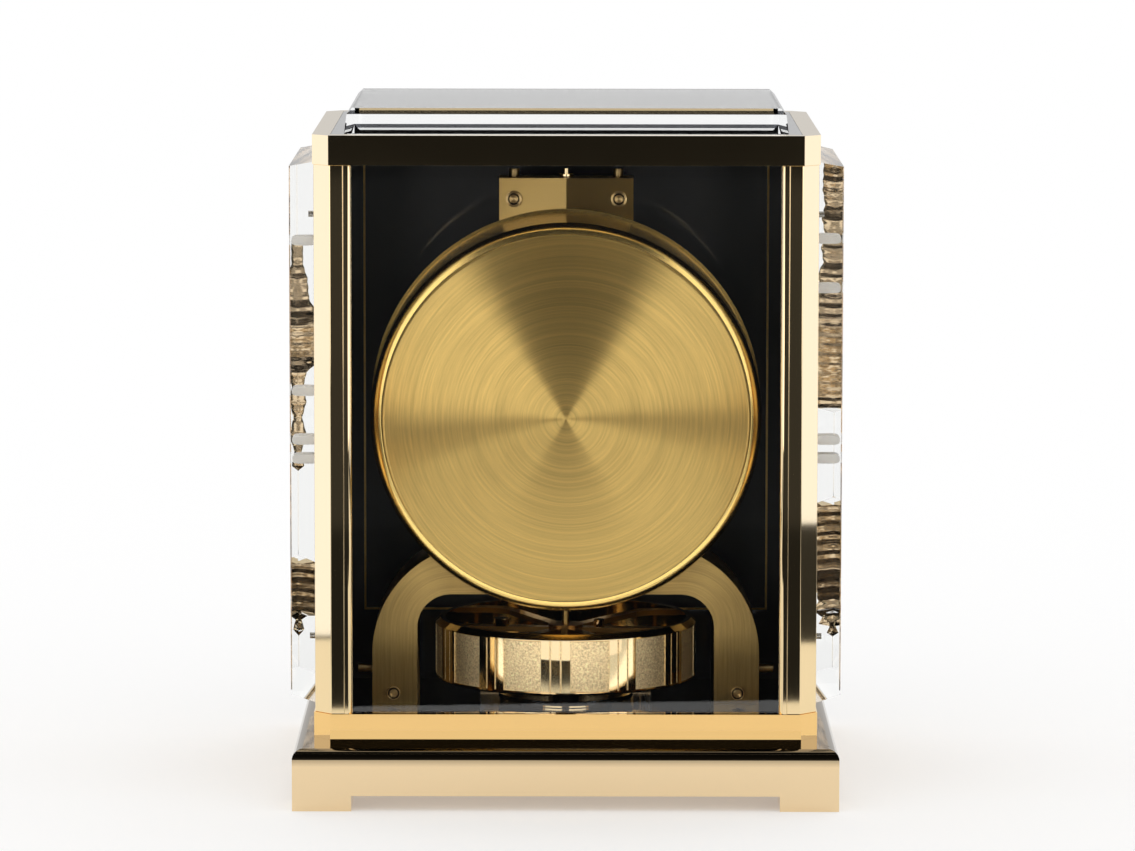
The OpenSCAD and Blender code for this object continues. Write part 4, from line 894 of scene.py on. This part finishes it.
class CLOCK_OT_stage(bpy.types.Operator):
    """Lays the pale floor, lights the studio and sets the camera"""
    bl_idname = "clock.stage"
    bl_label = "Studio"

    def execute(self, context):
        s = context.scene.clock_stage
        self.floor(s.floor_size / 2)
        self.cards(s)
        self.world(s.light)
        self.camera(context)
        context.scene.view_settings.view_transform = "Standard"
        return {"FINISHED"}

    def plane(self, name, corners, material):
        """A flat face between the corners that belongs to the studio and not to the clock."""
        mesh = bpy.data.meshes.new(name)
        mesh.from_pydata(corners, [], [tuple(range(len(corners)))])
        mesh.materials.append(material)
        made = bpy.data.objects.new(name, mesh)
        bpy.context.scene.collection.objects.link(made)
        return made

    def floor(self, half):
        """A pale floor that gives off a quarter of its own brightness, so that the shadow on it is soft."""
        material, g, shader, place = new_material("Pale floor")
        shader.inputs["Base Color"].default_value = (0.75, 0.75, 0.75, 1)
        shader.inputs["Emission Color"].default_value = (1, 1, 1, 1)
        shader.inputs["Emission Strength"].default_value = 0.25
        shader.inputs["Roughness"].default_value = 0.9
        shader.inputs["Specular IOR Level"].default_value = 0.0
        self.plane("floor", [(-half, -half, 0), (half, -half, 0), (half, half, 0), (-half, half, 0)],
                   material)

    def card(self, name, corners, colour, strength, seen="all", one_sided=False):
        """A card of even brightness that only reflections see: all of them, or only those through the glass
        ("glass"), or only the others ("open"). Its corners go round it, and a one-sided card shows only on
        the side from which they run anticlockwise."""
        material = bpy.data.materials.new(name)
        material.use_nodes = True
        g = Graph(material.node_tree)
        shader = material.node_tree.nodes["Principled BSDF"]
        shader.inputs["Base Color"].default_value = (0, 0, 0, 1)
        shader.inputs["Specular IOR Level"].default_value = 0.0
        shader.inputs["Emission Color"].default_value = (*colour, 1)
        shader.inputs["Emission Strength"].default_value = strength
        if one_sided:
            back = g.node("ShaderNodeNewGeometry").outputs["Backfacing"]
            g.put(shader.inputs["Alpha"], g.math("SUBTRACT", 1.0, back))
        card = self.plane(name, corners, material)
        card.visible_camera = False
        card.visible_diffuse = False
        card.visible_shadow = False
        card.visible_transmission = seen != "open"
        card.visible_glossy = seen != "glass"

    def upright(self, name, x0, x1, y0, y1, z0, z1, colour, strength, seen="all", one_sided=False):
        """A card that stands on the line from (x0, y0) to (x1, y1)."""
        self.card(name, [(x0, y0, z0), (x1, y1, z0), (x1, y1, z1), (x0, y0, z1)], colour, strength,
                  seen, one_sided)

    def cards(self, s):
        """What the metal and the glass reflect: a dark room round the camera, with bright walls at both sides
        of it that leave a dark wedge above, a dark and a grey table before it, a softbox at each side, and
        dark gaps beside the softboxes. One small card lies over the plinth's ledge, and one stands in the
        back opening before the balance. A bright table and two more gaps show through the glass alone."""
        dark, deep, white = (0.036, 0.036, 0.036), (0.012, 0.012, 0.012), (1.0, 1.0, 1.0)
        warm, cool = (1.0, 0.97, 0.98), (0.88, 0.95, 1.18)
        # The table's edge, the walls' distance and height, and half the width of the dark gap between them
        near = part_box("rear_glass")[1].y + s.table_reach - 0.063
        far, top, inner, wedge = 1.3, 2.2, 0.2, math.tan(s.wedge)
        # Where the dark table meets the grey one, half its width there, its height and the grey wall's
        seam, reach, level, skirting = 0.71, 0.286, 0.0006, 0.11
        behind = far + 0.02
        self.card("dark_table", [(-0.13, near + 0.015, level), (0.13, near - 0.01, level),
                                 (reach, seam, level), (-reach, seam, level)], deep, 1.4)
        self.card("grey_table", [(-reach, seam, level), (reach, seam, level),
                                 (0.5, far + 0.03, level), (-0.5, far + 0.03, level)], dark, 1.1)
        self.upright("grey_wall", -2.0, 2.0, behind, behind, 0.0, skirting, dark, 1.1)
        self.upright("dark_wall", -2.0, 2.0, behind, behind, skirting, top, deep, 1.0)
        self.card("dark_ceiling", [(-1.2, 0.1, top), (1.2, 0.1, top), (1.2, far, top), (-1.2, far, top)],
                  deep, 1.0)
        # The softboxes' distance from the middle plane, and their run along the clock
        beside, back, front = 0.39, -0.15, 0.2
        for name, side in (("left", 1), ("right", -1)):
            self.card("bright_wall_" + name, [
                (side * inner, far, 0.0), (side * inner, far, inner / wedge), (side * top * wedge, far, top),
                (side * 1.9, far, top), (side * 1.9, far, 0.0)], warm, s.wall)
            self.upright("softbox_" + name, side * beside, side * beside, back, front,
                         0.045 if side < 0 else 0.006, 1.1, cool, s.softbox)
        self.upright("line_left", beside, beside, back, front, 0.0045, 0.006, dark, 1.0)
        self.upright("gap_right", -0.385, -0.385, back, 1.2, 0.004, 0.05, dark, 1.0)
        level = 0.0007
        self.card("gap_left", [(0.27, 0.16, level), (beside, 0.16, level), (0.7, far, level),
                               (0.5, far, level)], dark, 1.0)
        self.upright("far_wall", -3.0, 3.0, -1.4, -1.4, 0.0, 2.2, white, 0.66, "open")
        low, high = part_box("base_plinth")
        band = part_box("lower_band")[1]
        ledge = high.z + 0.0001
        self.card("ledge_card", [(-band.x, band.y + 0.0002, ledge), (band.x, band.y + 0.0002, ledge),
                                 (band.x, high.y - 0.003, ledge), (-band.x, high.y - 0.003, ledge)],
                  white, 0.9, one_sided=True)
        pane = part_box("rear_glass")[0].y - 0.002
        self.upright("balance_card", -0.043, 0.043, pane, pane, 0.041, 0.056, warm, 1.3, one_sided=True)
        level = 0.001
        self.card("bright_table", [(-0.3, 0.088, level), (0.3, 0.088, level), (0.3, 0.2, level),
                                   (-0.3, 0.2, level)], warm, 2.0, "glass")
        for side, height in ((-1, 0.1), (1, 0.075)):
            self.upright("gap_through_glass_" + ("left" if side > 0 else "right"), side * 0.384, side * 0.384,
                         0.12, 1.2, 0.0, height, dark, 1.0, "glass")

    def world(self, light):
        """Even light of the given strength. What is seen, direct or in a reflection, is white."""
        world = bpy.data.worlds.new("Studio")
        bpy.context.scene.world = world
        world.use_nodes = True
        g = Graph(world.node_tree)
        path = g.node("ShaderNodeLightPath")
        seen = g.math("MAXIMUM", path.outputs["Is Camera Ray"],
                      g.math("MAXIMUM", path.outputs["Is Glossy Ray"], path.outputs["Is Transmission Ray"]))
        back = world.node_tree.nodes["Background"]
        back.inputs["Color"].default_value = (1, 1, 1, 1)
        g.put(back.inputs["Strength"], g.math("ADD", g.math("MULTIPLY", seen, 1.0 - light), light))

    def camera(self, context):
        """Looks along -Y and down by the pitch. The axes are the fitted ones, turned by yaw and roll."""
        p, y, r = CAMERA_PITCH, CAMERA_YAW, CAMERA_ROLL
        side = Vector((-math.cos(y), math.sin(y), 0))
        ahead = Vector((-math.sin(y) * math.cos(p), -math.cos(y) * math.cos(p), -math.sin(p)))
        up = Vector((-math.sin(y) * math.sin(p), -math.cos(y) * math.sin(p), math.cos(p)))
        across = side * math.cos(r) - up * math.sin(r)
        upright = side * math.sin(r) + up * math.cos(r)
        data = bpy.data.cameras.new("Photograph camera")
        data.sensor_width = SENSOR * 1000
        data.sensor_fit = "HORIZONTAL"
        data.lens = SENSOR * 1000 * FOCAL_PIXELS / PHOTO_WIDTH
        data.clip_start, data.clip_end = 0.05, 100
        camera = bpy.data.objects.new("Photograph camera", data)
        context.scene.collection.objects.link(camera)
        turn = Matrix((across, upright, -ahead)).transposed()
        camera.matrix_world = Matrix.Translation(Vector(CAMERA_PLACE)) @ turn.to_4x4()
        context.scene.camera = camera


class CLOCK_PT_panel(bpy.types.Panel):
    """Lists the clock's settings and the steps that make it"""
    bl_idname = "CLOCK_PT_panel"
    bl_label = "Clock"
    bl_space_type = "VIEW_3D"
    bl_region_type = "UI"
    bl_category = "Clock"

    def draw(self, context):
        for group in (context.scene.clock_finish, context.scene.clock_stage):
            for name in group.bl_rna.properties.keys():
                if name not in {"rna_type", "name"}:
                    self.layout.prop(group, name)
        for operator in STEPS:
            self.layout.operator(operator.bl_idname)


STEPS = (CLOCK_OT_case, CLOCK_OT_glass, CLOCK_OT_drum, CLOCK_OT_movement, CLOCK_OT_stage)
CLASSES = (CLOCK_PG_finish, CLOCK_PG_stage, *STEPS, CLOCK_PT_panel)


def register():
    for made in CLASSES:
        bpy.utils.register_class(made)
    bpy.types.Scene.clock_finish = bpy.props.PointerProperty(type=CLOCK_PG_finish)
    bpy.types.Scene.clock_stage = bpy.props.PointerProperty(type=CLOCK_PG_stage)


def unregister():
    del bpy.types.Scene.clock_stage
    del bpy.types.Scene.clock_finish
    for made in reversed(CLASSES):
        bpy.utils.unregister_class(made)


def main():
    register()
    bpy.ops.clock.case()
    bpy.ops.clock.glass()
    bpy.ops.clock.drum()
    bpy.ops.clock.movement()
    bpy.ops.clock.stage()


if __name__ == "__main__":
    main()
